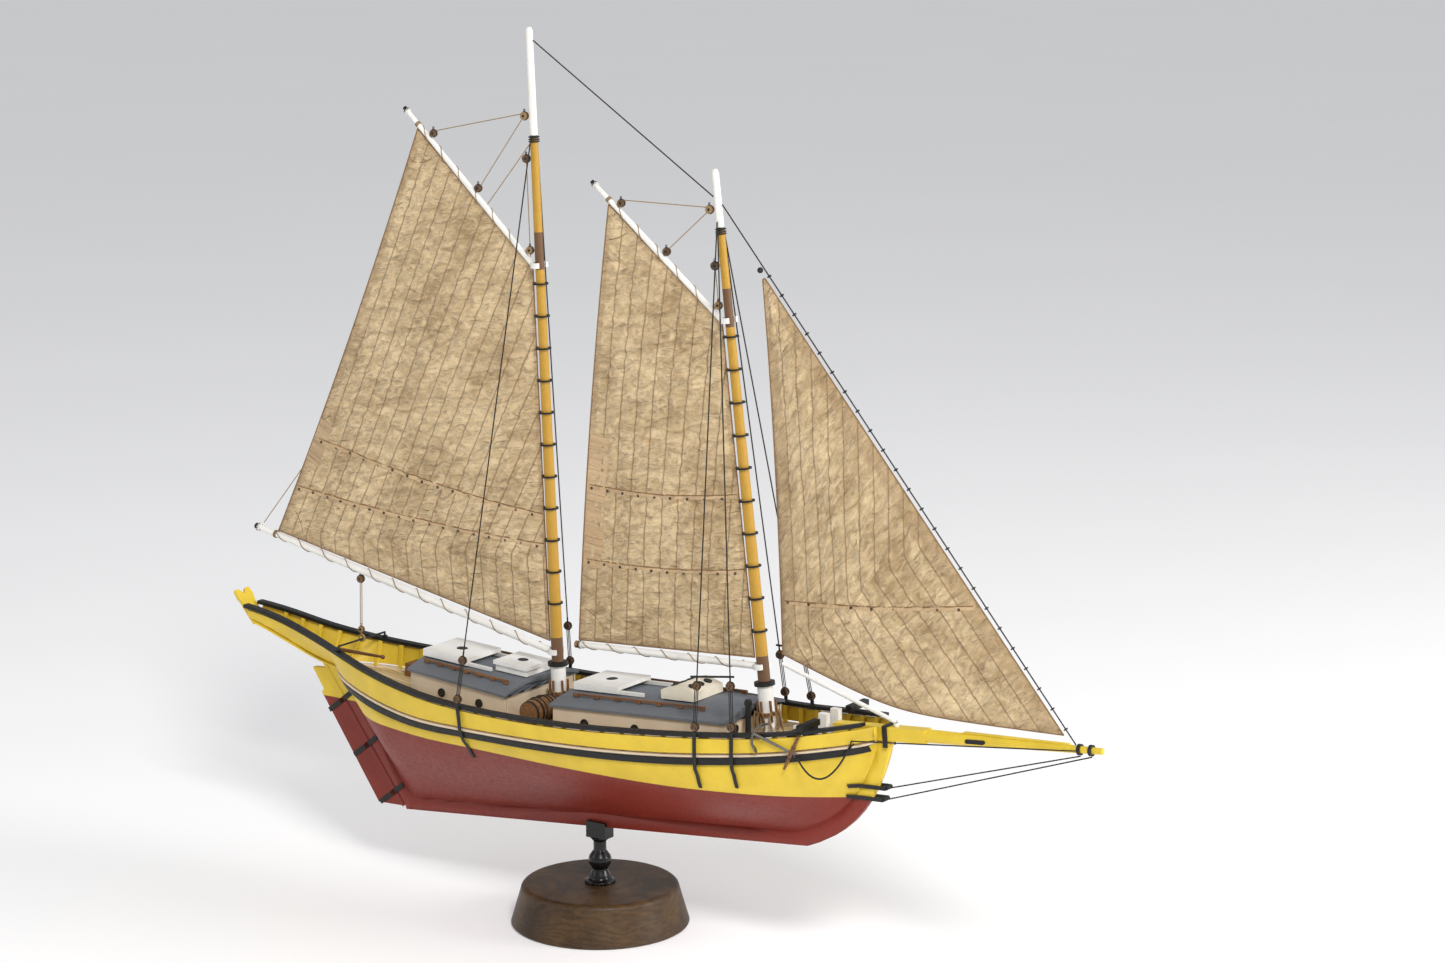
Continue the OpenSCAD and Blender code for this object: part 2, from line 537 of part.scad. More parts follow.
port_up = 11;
module rim(p, turn) translate(p) rotate([90, 0, turn]) difference() {
  cylinder(h = 1, r = port_r, $fn = fine);
  translate([0, 0, 0.4]) cylinder(h = 1, r = port_r - 0.8, $fn = fine);
}
module side_ports(c, places) for (x = places)
  let (turn = atan((c[3] - c[2]) / (c[1] - c[0])), y = cab_half(c, x) + 0.15, z = eave_z(c, x) - port_up) {
    rim([x, -y, z], -turn);
    rim([x, y, z], 180 + turn);
  }
module porthole_rims() color("black") boat() {
  side_ports(aft_cab, [-121, -82]);
  side_ports(fore_cab, [19, 64, 124]);
  both() rim([fore_cab[1] + 0.15, -24, eave_z(fore_cab, fore_cab[1]) - port_up + 4], 90);
}

// ---- water cask between the cabins ----
cask_r = 10;
cask_l = 28;
cask = [-33, -31, deck_z(-33) + cask_r + 3.6];
module water_cask() color("peru") boat() translate(cask) rotate([90, 0, 0])
  rotate_extrude($fn = fine) polygon(concat([[0, -cask_l / 2], [cask_r - 3, -cask_l / 2],
      [cask_r - 2.6, -cask_l / 2]],
    [for (k = [0:6]) let (t = k / 6 * 2 - 1) [cask_r - 1.8 * t ^ 2, t * cask_l / 2]],
    [[cask_r - 3, cask_l / 2], [0, cask_l / 2]]));
module cask_chocks() color("goldenrod") boat() difference() {
  for (s = [-8, 8]) translate([cask[0] - 9, cask[1] + s - 1.5, deck_z(cask[0] + 9) + gap])
    cube([18, 3, 7]);
  translate(cask) rotate([90, 0, 0]) cylinder(h = 60, r = cask_r + gap, center = true, $fn = fine);
}

// ---- masts: local Z runs up the mast from the deck, local -X is aft ----
module mast_frame(x, rake) translate([x, 0, deck_z(x)]) rotate([0, -rake, 0]) children();
module main_frame() boat() mast_frame(main_x, main_rake) children();
module fore_frame() boat() mast_frame(fore_x, fore_rake) children();
function mast_rad(z, length) = mix(mast_r, mast_top_r, max(0, (z - foot_h) / (length - foot_h)));
module mast(length) rotate_extrude($fn = fine) polygon([[0, foot_h + gap], [mast_r, foot_h + gap],
  [mast_top_r, length - 3], [mast_top_r - 1, length], [0, length]]);
module mast_foot(pins) {
  translate([0, 0, 0.1 - deck_thick]) cylinder(h = foot_h - 3.1 + deck_thick, r = foot_r, $fn = fine);
  translate([0, 0, foot_h - 3]) cylinder(h = 3, r = foot_r + 2, $fn = fine);
  for (a = [0:60:300]) rotate([0, 0, a + pins]) translate([foot_r + 1.2, 0, 14])
    cylinder(h = 16, r = 0.9, $fn = 24);
  translate([0, 0, 20]) ring(foot_r + gap / 4, foot_r + 2.6, 2);
}
module main_mast() color("goldenrod") main_frame() mast(main_len);
module fore_mast() color("goldenrod") fore_frame() mast(fore_len);
module main_mast_foot() color("white") main_frame() mast_foot(30);
module fore_mast_foot() color("white") fore_frame() mast_foot(30);

// ---- bowsprit: local X runs outboard from the stem head ----
sprit_rise = 4.6;
sprit_in = 48;
module sprit_frame() boat() translate([hull_fore, 0, stem_top[1] + sprit_half + gap + 0.4])
  rotate([0, -sprit_rise, 0]) children();
function on_sprit(d, up = 0) =
  [hull_fore + d * cos(sprit_rise) - up * sin(sprit_rise), 0,
   stem_top[1] + sprit_half + gap + 0.4 + d * sin(sprit_rise) + up * cos(sprit_rise)];
module bowsprit() color("gold") sprit_frame() {
  translate([-sprit_in, -sprit_half, -sprit_half]) cube([sprit_in + 30, 2 * sprit_half, 2 * sprit_half]);
  translate([30, 0, 0]) rotate([0, 90, 0]) cylinder(h = sprit_len - 30, r1 = sprit_half, r2 = 2.3, $fn = fine);
}
band_at = sprit_len - 18;
sprit_band_r = mix(sprit_half, 2.3, (band_at - 30) / (sprit_len - 30)) + 1.4;
module bowsprit_irons() color("black") {
  sprit_frame() {
    for (d = [0, 9]) translate([band_at + d, 0, 0]) rotate([0, 90, 0])
      ring(sprit_band_r - 1.3, sprit_band_r, 2.4);
    difference() {
      translate([-5.2, -sprit_half - 1.2, -sprit_half - 5]) cube([3.6, 2 * sprit_half + 2.4, 2 * sprit_half + 6.2]);
      translate([-6, -sprit_half - 0.1, -sprit_half - 6]) cube([6, 2 * sprit_half + 0.2, 2 * sprit_half + 6.1]);
    }
  }
  boat() for (d = [0, 9]) {
    both() stem_strap(hull_fore - 32 - d / 3, strap_eye(d)[0], strap_eye(d)[2] - 3.4);
    translate(strap_eye(d)) rotate([90, 0, 0]) cylinder(h = keel_thick + 0.6, r = 1.6, center = true, $fn = fine);
  }
}
// A bow strap lies along the planking and ends at an eye ahead of the stem, where a bobstay starts
function strap_eye(d) = [hull_fore - 3 - d / 4, 0, deck_z(hull_fore - 30) - 31 - d];
function strap_half(x, z) = (x < block_fore - 8 ? side_half(x, z) : keel_half) + 0.5;
module stem_strap(x1, x2, z) loft([for (x = [x1, mix(x1, block_fore - 8.1, 0.5), block_fore - 8.1, x2])
  let (low = z + (x - x1) * 0.06, y = strap_half(x, low), top = strap_half(x, low + 3))
  [[x, -y, low], [x, -y - 0.9, low], [x, -top - 0.9, low + 3], [x, -top, low + 3]]]);

// ---- windlass ----
lass_x = 194;
lass_half = 17;
lass_z = deck_z(lass_x) + 10;
axle_r = 1.6;
module windlass_bitts() color("black") boat() {
  both() difference() {
    translate([lass_x - 3, lass_half, deck_z(lass_x + 3) + gap]) cube([6, 4, 15]);
    translate([lass_x, 0, lass_z]) rotate([-90, 0, 0])
      cylinder(h = 60, r = axle_r + pin_play, $fn = fine);
  }
  translate([lass_x + 12, -3.5, deck_z(lass_x + 19) + gap]) cube([7, 7, 5]);
  both() translate([lass_x + 12, sprit_half + 0.6, deck_z(lass_x + 19) + gap]) cube([7, 5, 22]);
}
module windlass_barrel() color("dimgray") boat() translate([lass_x, 0, lass_z]) rotate([90, 0, 0]) {
  translate([0, 0, -lass_half - 12]) cylinder(h = 2 * lass_half + 24, r = axle_r, $fn = fine);
  rotate_extrude($fn = fine) polygon([[0, -lass_half + 0.5], [barrel_r, -lass_half + 0.5],
    [barrel_r - 0.8, -6], [barrel_r + 1, -4], [barrel_r + 1, 4], [barrel_r - 0.8, 6],
    [barrel_r, lass_half - 0.5], [0, lass_half - 0.5]]);
  for (s = [-1, 1]) translate([0, 0, s * (lass_half + 8)])
    cylinder(h = 7, r = barrel_r - 0.6, center = true, $fn = fine);
}

// ---- anchor, catheads and the cable that hangs from hawse to anchor ring ----
cat_x = 212;
// The cable's route, from the hawse down in a bight and up to the anchor's ring
CABLE = [
  [241, -21.2, 108], [238.9, -23.3, 102.5], [236.7, -24.9, 97.7], [234.6, -26.3, 93.6],
  [232.4, -27.7, 90.1], [230.3, -29.1, 87.3], [228.1, -30.4, 85.1], [226, -31.6, 83.6],
  [223.8, -32.9, 82.7], [221.7, -34.1, 82.5], [219.5, -35.2, 82.9], [217.4, -36.4, 84],
  [215.2, -37.5, 85.8], [213.1, -38.5, 88.2], [211, -39.5, 91.3], [208.8, -40.4, 95],
  [206.7, -40.7, 99.4]];
cable_r = 0.7;
anchor_off = 3.5;
anchor_dip = 23;
anchor_arm = 14;
module anchor_gear() color("black") boat() {
  loft([for (k = [0:len(CABLE) - 1]) around(CABLE[k],
    CABLE[min(k + 1, len(CABLE) - 1)] - CABLE[max(k - 1, 0)], cable_r, 10)]);
  both() translate([cat_x - 2.5, -rail_half(cat_x) - 11, rail_z(cat_x + 6) + gap]) cube([5, 26, 4.5]);
  // The anchor hangs outside the rail, crown aft, in a frame whose local X follows the rail
  crown_x = 176;
  run = 34;
  toe_in = atan((rail_half(crown_x) - rail_half(crown_x + run)) / run);
  translate([crown_x, -rail_half(crown_x) - anchor_off, rail_z(crown_x) + 1]) rotate([0, 0, toe_in])
    rotate([0, anchor_dip, 0]) {
      rod([0, 0, 0], [run, 0, 0], 1.1);
      rod([run - 3, 0, 14], [run - 3, 0, -14], 1.5);
      translate([anchor_arm, 0, 0]) rotate([90, 0, 0]) rotate([0, 0, 120])
        rotate_extrude(angle = 120, $fn = fine) translate([anchor_arm, 0]) circle(r = 1, $fn = 24);
    }
}

// ---- standing rigging ----
// Each shroud: [chainplate x, mast frame number, height up the mast]
SHROUDS = [[-81, 0, 446], [131, 1, 384], [159, 1, 380]];
function mast_point(m, z, x = 0) = let (r = m == 0 ? main_rake : fore_rake, f = m == 0 ? main_x : fore_x)
  [f - z * sin(r) + x * cos(r), 0, deck_z(f) + z * cos(r) + x * sin(r)];
function shroud_low(s) = [s[0], -rail_half(s[0]) - 2.6, rail_z(s[0]) + 2.4];
function shroud_high(s) = let (p = mast_point(s[1], s[2]),
  r = mast_rad(s[2], s[1] == 0 ? main_len : fore_len)) [p[0], -r - 0.7, p[2]];
deadeye_r = 3;
lanyard = 30;
function along(p, q, d) = p + (q - p) * d / norm(q - p);
module deadeyes() color("black") boat() both() for (s = SHROUDS) {
  for (d = [deadeye_r, deadeye_r + lanyard]) translate(along(shroud_low(s), shroud_high(s), d))
    block_shape(2 * deadeye_r);
}
module shrouds() color("black") boat() both() {
  for (s = SHROUDS) {
    a = shroud_low(s);
    b = shroud_high(s);
    rod(along(a, b, lanyard + 2 * deadeye_r + 0.2), b, stay_r);
    for (k = [-1.4, 0, 1.4]) rod(along(a, b, 2 * deadeye_r + 0.2) + [k, 0, 0],
      along(a, b, lanyard - 0.2) + [k, 0, 0], line_r);
  }
  f1 = along(shroud_low(SHROUDS[1]), shroud_high(SHROUDS[1]), lanyard + 2 * deadeye_r + 4);
  f2 = along(shroud_low(SHROUDS[2]), shroud_high(SHROUDS[2]), lanyard + 2 * deadeye_r + 4);
  rod(along(f1, f2, -4) - [0, 1.6, 0], along(f2, f1, -4) - [0, 1.6, 0], 0.8);
}
// A chainplate is a flat strap down the bulwark and the topside, ending below the wale
plate_off = 2.4;
module chainplates() color("black") boat() both() for (s = SHROUDS) {
  x = s[0];
  w = 1.5;
  wale_foot = deck_z(x) - deck_thick - wale_d;
  head = [-max(rail_half(x - w), rail_half(x + w)) - plate_off, rail_z(x) + 2];
  side = [for (k = [0:5]) let (z = mix(deck_z(x), deck_z(x) - 26, k / 5))
    [-max(side_half(x - w, z), side_half(x + w, z)) - (z > wale_foot - 5.5 ? plate_off : 0.6), z]];
  loft([for (p = concat([head], side)) [[x - w, p[0] - 0.9, p[1]], [x + w, p[0] - 0.9, p[1]],
                                       [x + w, p[0], p[1]], [x - w, p[0], p[1]]]]);
}
stay_top = 396;
stay_foot = on_sprit(band_at - 3, 3);
module stays() color("black") boat() {
  rod(stay_foot, mast_point(1, stay_top, mast_rad(stay_top, fore_len) + 0.7), stay_r);
  rod(mast_point(1, stay_top + 6, -mast_rad(stay_top, fore_len) - 0.7),
    mast_point(0, main_len - 10, mast_top_r + 0.7), stay_r);
}
module bow_rigging() color("black") boat() {
  for (d = [0, 9]) rod(strap_eye(d) + [2.2, 0, 0], on_sprit(band_at + d, -sprit_band_r - 0.7), stay_r);
  both() rod([hull_fore - 22, -mix(edge_half(hull_fore - 22), rail_half(hull_fore - 22), 0.3) - 0.8,
    deck_z(hull_fore - 22) + 4], on_sprit(band_at) - [0, sprit_band_r + 0.7, 0], stay_r);
}

// ---- main rig: boom, gaff, sail and tackle turn together about the mast ----
// Each boom or gaff starts at its jaws, local height and slope up aft
main_boom_z = 52;
main_boom_up = 14.1;
main_gaff_z = 350;
main_gaff_up = 45;
fore_boom_z = 55.5;
fore_boom_up = 4.2;
fore_gaff_z = 312;
fore_gaff_up = 45.5;
ring_r = mast_r + ring_play;
module jaws() difference() {
  cylinder(h = 4, r = ring_r + 2.2, center = true, $fn = fine);
  cylinder(h = 10, r = ring_r, center = true, $fn = fine);
  translate([ring_r * 0.55, -20, -5]) cube([20, 40, 10]);
  translate([-ring_r - 10, -20, -5]) cube([9, 40, 10]);
}
module spar(z, up, length, r, r_end) {
  translate([0, 0, z]) jaws();
  translate([-ring_r - 1.5, 0, z]) rotate([0, -90 + up, 0]) {
    cylinder(h = length * 0.5, r1 = r * 0.9, r2 = r, $fn = fine);
    translate([0, 0, length * 0.5]) cylinder(h = length * 0.5, r1 = r, r2 = r_end, $fn = fine);
    translate([0, 0, length - 4]) ring(r_end + 0.35, r_end + 1, 3);
  }
}
module main_boom() color("white") main_frame() spar(main_boom_z, main_boom_up, main_boom_len, boom_r, 2.4);
module main_gaff() color("white") main_frame() spar(main_gaff_z, main_gaff_up, main_gaff_len, gaff_r, 1.6);
module fore_boom() color("white") fore_frame() spar(fore_boom_z, fore_boom_up, fore_boom_len, boom_r - 0.3, 2.2);
module fore_gaff() color("white") fore_frame() spar(fore_gaff_z, fore_gaff_up, fore_gaff_len, gaff_r, 1.6);

// Place on a spar, d along it from the jaws and off above its axis
function spar_at(z, up, d, off) =
  [-ring_r - 1.5 - d * cos(up) + off * sin(up), 0, z + d * sin(up) + off * cos(up)];
function flat(p) = [p[0], p[2]];
luff_x = -ring_r - 1.3;
hoop_pitch = 24;
module sail(bz, bup, blen, gz, gup, glen, bow_leech) {
  foot = boom_r + 0.5;
  head = -gaff_r - 0.5;
  tack = [luff_x, bz + foot + 6 + 8 * sin(bup)];
  clew = flat(spar_at(bz, bup, blen, foot));
  peak = flat(spar_at(gz, gup, glen, head));
  throat = [luff_x, gz - 4];
  mid = (clew + peak) / 2 + bow_leech * [peak[1] - clew[1], clew[0] - peak[0]];
  rotate([90, 0, 0]) linear_extrude(sail_t, center = true) polygon(concat(
    [tack, flat(spar_at(bz, bup, 8, foot)) + [0, 1]],
    [for (t = [0:0.1:1]) bezier(clew, mid, peak, t)],
    [flat(spar_at(gz, gup, 8, head)), throat]));
}
module hoops(z1, z2, r) {
  n = floor((z2 - z1) / hoop_pitch);
  for (k = [0:n]) translate([0, 0, mix(z1, z2, k / n)]) ring(r, r + 0.9, 1.4);
}
module main_sail() color("tan") main_frame()
  sail(main_boom_z, main_boom_up, main_boom_len - 24, main_gaff_z, main_gaff_up, main_gaff_len - 20, 0.02);
module fore_sail() color("tan") fore_frame()
  sail(fore_boom_z, fore_boom_up, fore_boom_len - 2, fore_gaff_z, fore_gaff_up, fore_gaff_len - 22, -0.02);

// Tackle: mast hoops, blocks, halyards, topping lift and the sheet that rides the horse
module hoist(z_gaff, up, z_low, z_high, length, mast_length) {
  for (b = [[z_high, z_high - 6], [z_low, z_low - 6]])
    translate([-mast_rad(b[0], mast_length) - 5, 0, b[0]]) block_shape(6);
  for (d = [0.45, 0.8]) {
    g = spar_at(z_gaff, up, d * length, gaff_r + 3.4);
    translate(g) block_shape(5.6);
    rod(g + [2.4, 0, 2], [-mast_rad(z_high, mast_length) - 6.5, 0, z_high + (d - 0.6) * 8], line_r);
  }
  t = [-mast_rad(z_gaff, mast_length) - 5, 0, z_gaff + 11];
  translate(t) block_shape(5.6);
  rod(t - [0, 0, 2.6], spar_at(z_gaff, up, 5.5, gaff_r + 0.8), line_r);
  rod(t + [0, 0, 2.6], [-mast_rad(z_low, mast_length) - 5, 0, z_low - 3.2], line_r);
}
sheet_d = 192;
lift_y = 3.4;                    // the topping lift runs up the port side of the sail
lift_top = 446;
module main_tackle() color("dimgray") main_frame() {
  hoops(90, 336, ring_r);
  hoist(main_gaff_z, main_gaff_up, 430, 462, main_gaff_len, main_len);
  lift_end = spar_at(main_boom_z, main_boom_up, main_boom_len - 5, 3.8);
  rod(lift_end + [0, lift_y, 0], [-1.8, lift_y, lift_top], line_r);
  s = spar_at(main_boom_z, main_boom_up, sheet_d, -boom_r - 4);
  ring_at = horse_local();
  translate(s) block_shape(6);
  translate([ring_at[0], 0, ring_at[2] + 7]) block_shape(5);
  for (y = [-1, 1]) rod(s + [0, y, -3.2], [ring_at[0], y, ring_at[2] + 9.8], line_r);
  translate(ring_at) rotate([90, 0, 0]) ring(2.2, 3.2, 1.4);
  translate([ring_at[0], 0, ring_at[2] + 3.9]) sphere(r = 0.9, $fn = 24);
}
// The sheet ring hangs on the horse with 0.3 mm between them
function horse_local() = let (dx = horse_x - main_x, dz = horse_z + 1.1 - deck_z(main_x))
  [dx * cos(main_rake) + dz * sin(main_rake), 0, -dx * sin(main_rake) + dz * cos(main_rake)];
module fore_tackle() color("dimgray") fore_frame() {
  hoops(82, 300, ring_r);
  hoist(fore_gaff_z, fore_gaff_up, 352, 393, fore_gaff_len, fore_len);
}

// ---- jib: local Z runs up the stay from the bowsprit ----
stay_head = mast_point(1, stay_top, mast_rad(stay_top, fore_len) + 0.7);
stay_len = norm(stay_head - stay_foot);
stay_lean = atan2(stay_foot[0] - stay_head[0], stay_head[2] - stay_foot[2]);
module stay_frame() boat() translate(stay_foot) rotate([0, -stay_lean, 0]) children();
function in_stay(p) = let (d = p - stay_foot)
  [d[0] * cos(stay_lean) + d[2] * sin(stay_lean), d[2] * cos(stay_lean) - d[0] * sin(stay_lean)];
club_pivot = [hull_fore + 3, 0, on_sprit(3, sprit_half + 1.4)[2]];
club_end = club_pivot + [-98, 0, 31];
club_r = 1.6;
hank_in = stay_r + 0.5;
hank_out = hank_in + 0.7;
jib_luff = -hank_out - 0.9;
jib_tack = 9;
jib_head = 405;
jib_clew = in_stay(club_end + [-1, 0, 6]);
// The foot drops along the club, turns over its pivot and runs level to the tack
foot_turn = in_stay(club_pivot + [0, 0, 7]);
foot_pull = 3.5;
module jib_sail() color("tan") stay_frame() {
  mid_leech = ([jib_luff, jib_head] + jib_clew) / 2 + [9, 6];
  rotate([90, 0, 0]) linear_extrude(sail_t, center = true) polygon(concat(
    [for (t = [0:0.0625:1]) pulled([jib_luff, jib_tack], foot_turn, jib_clew, foot_pull, t)],
    [for (t = [0.125:0.125:1]) bezier(jib_clew, mid_leech, [jib_luff, jib_head], t)]));
}
hanks = 24;
module jib_hanks() color("black") stay_frame() {
  for (k = [0:hanks - 1]) translate([0, 0, mix(jib_tack + 4, jib_head - 4, k / (hanks - 1))])
    ring(hank_in, hank_out, 0.8);
  translate([jib_luff - 1, 0, jib_head + 4]) sphere(r = 2.2, $fn = 24);
}
module jib_club() color("white") boat() {
  rod(club_pivot + [0, 0, 1.9], club_end, club_r);
  translate(club_pivot) cylinder(h = 2.4, r = 2, center = true, $fn = fine);
}

stand_base();
stand_post();
keel_saddle();
hull_block();
hull_backbone();
wale_strakes();
covering_boards();
deck_planking();
pink_floor();
tailboard();
bulwark_starboard();
bulwark_port();
rail_stanchions();
cap_rail_starboard();
cap_rail_port();
rudder_blade();
rudder_straps();
rudder_gudgeons();
tiller();
sheet_horse();
cockpit_bench();
aft_cabin_sides();
aft_cabin_roof();
aft_roof_trim();
aft_slide_hatch();
aft_lift_hatch();
water_cask();
cask_chocks();
fore_cabin_sides();
fore_cabin_roof();
fore_roof_trim();
fore_slide_hatch();
skylight();
stove_pipe();
porthole_rims();
main_mast();
main_mast_foot();
fore_mast();
fore_mast_foot();
bowsprit();
bowsprit_irons();
windlass_bitts();
windlass_barrel();
anchor_gear();
chainplates();
deadeyes();
shrouds();
stays();
bow_rigging();
main_boom();
main_gaff();
main_sail();
main_tackle();
fore_boom();
fore_gaff();
fore_sail();
fore_tackle();
jib_sail();
jib_hanks();
jib_club();
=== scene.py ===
"""Looks of a two-masted gaff schooner display model on a turned stand.

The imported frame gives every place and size. Each finish is a procedural
material, and each sub-assembly is a class that builds and dresses its pieces.
"""

import json
import logging
import math
from dataclasses import dataclass, field
from enum import Enum
from typing import Callable, Optional, Sequence

import bpy
import numpy as np
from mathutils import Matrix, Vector, noise


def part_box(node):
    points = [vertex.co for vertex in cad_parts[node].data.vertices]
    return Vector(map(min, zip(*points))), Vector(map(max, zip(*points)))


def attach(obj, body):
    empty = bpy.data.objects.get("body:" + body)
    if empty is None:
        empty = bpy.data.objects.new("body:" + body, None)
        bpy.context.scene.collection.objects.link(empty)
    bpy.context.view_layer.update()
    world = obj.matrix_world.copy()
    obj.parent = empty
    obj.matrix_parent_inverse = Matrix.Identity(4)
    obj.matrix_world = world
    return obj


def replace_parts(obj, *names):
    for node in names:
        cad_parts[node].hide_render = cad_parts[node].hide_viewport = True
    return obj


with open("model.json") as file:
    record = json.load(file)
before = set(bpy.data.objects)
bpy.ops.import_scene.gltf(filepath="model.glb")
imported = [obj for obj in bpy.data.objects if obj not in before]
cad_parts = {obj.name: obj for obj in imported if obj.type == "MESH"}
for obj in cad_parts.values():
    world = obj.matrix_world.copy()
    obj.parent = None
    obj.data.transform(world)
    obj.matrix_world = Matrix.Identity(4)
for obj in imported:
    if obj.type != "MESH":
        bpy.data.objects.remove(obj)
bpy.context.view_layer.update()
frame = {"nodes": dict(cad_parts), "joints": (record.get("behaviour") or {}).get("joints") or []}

LOG = logging.getLogger("schooner")
MM = 0.001

Point = tuple[float, float, float]
Flat = tuple[float, float]
Colour = tuple[float, float, float]
Picker = Callable[[Vector, Vector], int]


def tone(red: float, green: float, blue: float) -> Colour:
    """Turns a colour on the 0 to 255 display scale into linear light.

    Args:
        red: red share.
        green: green share.
        blue: blue share.

    Returns:
        The three linear shares.
    """
    def one(value: float) -> float:
        """One share in linear light."""
        v = value / 255.0
        return v / 12.92 if v <= 0.04045 else ((v + 0.055) / 1.055) ** 2.4
    return one(red), one(green), one(blue)


class Grain(Enum):
    """Which way the wood's fibres run."""

    FORE_AND_AFT = (0.02, 0.5, 0.5)
    UPRIGHT = (0.5, 0.5, 0.02)
    ATHWART = (0.5, 0.02, 0.5)


class Pen:
    """Draws the nodes of one material; lengths are in millimetres."""

    def __init__(self, name: str) -> None:
        """Starts an empty material.

        Args:
            name: the material's name.
        """
        self.material = bpy.data.materials.new(name)
        self.material.use_nodes = True
        self.tree = self.material.node_tree
        self.shader = self.tree.nodes["Principled BSDF"]
        coords = self.tree.nodes.new("ShaderNodeTexCoord")
        self.uv = self.scaled(coords.outputs["UV"], (1000.0, 1000.0, 1000.0))
        self.place = self.scaled(coords.outputs["Object"], (1000.0, 1000.0, 1000.0))

    def add(self, kind: str, **settings: object) -> bpy.types.Node:
        """Adds a node of a kind with some settings."""
        node = self.tree.nodes.new(kind)
        for key, value in settings.items():
            setattr(node, key, value)
        return node

    def join(self, source: object, target: bpy.types.NodeSocket) -> None:
        """Feeds a socket from another socket, or sets its value."""
        if isinstance(source, bpy.types.NodeSocket):
            self.tree.links.new(source, target)
        else:
            target.default_value = source

    def scaled(self, vector: bpy.types.NodeSocket, scale: Point) -> bpy.types.NodeSocket:
        """Multiplies a vector by three numbers."""
        node = self.add("ShaderNodeVectorMath", operation="MULTIPLY")
        self.join(vector, node.inputs[0])
        node.inputs[1].default_value = scale
        return node.outputs[0]

    def moved(self, vector: bpy.types.NodeSocket, shift: Point) -> bpy.types.NodeSocket:
        """Adds three numbers to a vector."""
        node = self.add("ShaderNodeVectorMath", operation="ADD")
        self.join(vector, node.inputs[0])
        node.inputs[1].default_value = shift
        return node.outputs[0]

    def axis(self, vector: bpy.types.NodeSocket, letter: str) -> bpy.types.NodeSocket:
        """One coordinate of a vector."""
        node = self.add("ShaderNodeSeparateXYZ")
        self.join(vector, node.inputs[0])
        return node.outputs[letter]

    def sum(self, operation: str, a: object, b: object = 0.0) -> bpy.types.NodeSocket:
        """One step of arithmetic.

        Args:
            operation: Blender's name of the step.
            a: first number or socket.
            b: second number or socket.

        Returns:
            The result's socket.
        """
        node = self.add("ShaderNodeMath", operation=operation)
        self.join(a, node.inputs[0])
        self.join(b, node.inputs[1])
        return node.outputs[0]

    def times(self, a: object, b: object) -> bpy.types.NodeSocket:
        """The product of two numbers or sockets."""
        return self.sum("MULTIPLY", a, b)

    def plus(self, a: object, b: object) -> bpy.types.NodeSocket:
        """The total of two numbers or sockets."""
        return self.sum("ADD", a, b)

    def noise(self, vector: bpy.types.NodeSocket, scale: float, detail: float = 4.0,
              rough: float = 0.55, warp: float = 0.0) -> bpy.types.NodeSocket:
        """Cloudy noise.

        Args:
            vector: where it is read.
            scale: lumps per millimetre.
            detail: octaves.
            rough: strength of the fine octaves.
            warp: how much the noise bends itself.

        Returns:
            A value from 0 to 1.
        """
        node = self.add("ShaderNodeTexNoise")
        self.join(vector, node.inputs["Vector"])
        node.inputs["Scale"].default_value = scale
        node.inputs["Detail"].default_value = detail
        node.inputs["Roughness"].default_value = rough
        node.inputs["Distortion"].default_value = warp
        return node.outputs[0]

    def ramp(self, value: bpy.types.NodeSocket, stops: Sequence[tuple[float, Colour]],
             sharp: bool = False) -> bpy.types.NodeSocket:
        """Turns a value into a colour.

        Args:
            value: from 0 to 1.
            stops: places and colours.
            sharp: steps instead of smooth change.

        Returns:
            The colour's socket.
        """
        node = self.add("ShaderNodeValToRGB")
        self.join(value, node.inputs[0])
        band = node.color_ramp
        band.interpolation = "CONSTANT" if sharp else "LINEAR"
        while len(band.elements) < len(stops):
            band.elements.new(0.5)
        for element, (place, colour) in zip(band.elements, stops):
            element.position = place
            element.color = (*colour, 1.0)
        return node.outputs[0]

    def mask(self, value: bpy.types.NodeSocket, low: float, high: float,
             start: float = 0.0, end: float = 1.0) -> bpy.types.NodeSocket:
        """Goes from start to end as value goes from low to high, and stays there."""
        node = self.add("ShaderNodeMapRange", clamp=True, interpolation_type="SMOOTHSTEP")
        self.join(value, node.inputs["Value"])
        for key, number in (("From Min", low), ("From Max", high), ("To Min", start), ("To Max", end)):
            node.inputs[key].default_value = number
        return node.outputs[0]

    def mix(self, share: object, a: object, b: object, mode: str = "MIX") -> bpy.types.NodeSocket:
        """Mixes two colours.

        Args:
            share: how much of the second.
            a: first colour or socket.
            b: second colour or socket.
            mode: Blender's name of the mixing.

        Returns:
            The colour's socket.
        """
        node = self.add("ShaderNodeMix", data_type="RGBA", blend_type=mode)
        self.join(share, node.inputs[0])
        for source, target in ((a, node.inputs[6]), (b, node.inputs[7])):
            self.join((*source, 1.0) if isinstance(source, tuple) else source, target)
        return node.outputs[2]

    def lines(self, value: bpy.types.NodeSocket, pitch: float, width: float) -> bpy.types.NodeSocket:
        """Thin lines a pitch apart: 1 on a line and 0 between lines."""
        turn = self.sum("PINGPONG", value, pitch / 2)
        return self.mask(turn, 0.0, width, 1.0, 0.0)

    def bump(self, height: bpy.types.NodeSocket, depth: float,
             under: Optional[bpy.types.NodeSocket] = None) -> bpy.types.NodeSocket:
        """Raises the surface.

        Args:
            height: from 0 to 1.
            depth: millimetres that 1 stands for.
            under: an earlier bump's normal.

        Returns:
            The new normal.
        """
        node = self.add("ShaderNodeBump")
        node.inputs["Strength"].default_value = 1.0
        node.inputs["Distance"].default_value = depth * MM
        self.join(height, node.inputs["Height"])
        if under is not None:
            self.join(under, node.inputs["Normal"])
        return node.outputs[0]

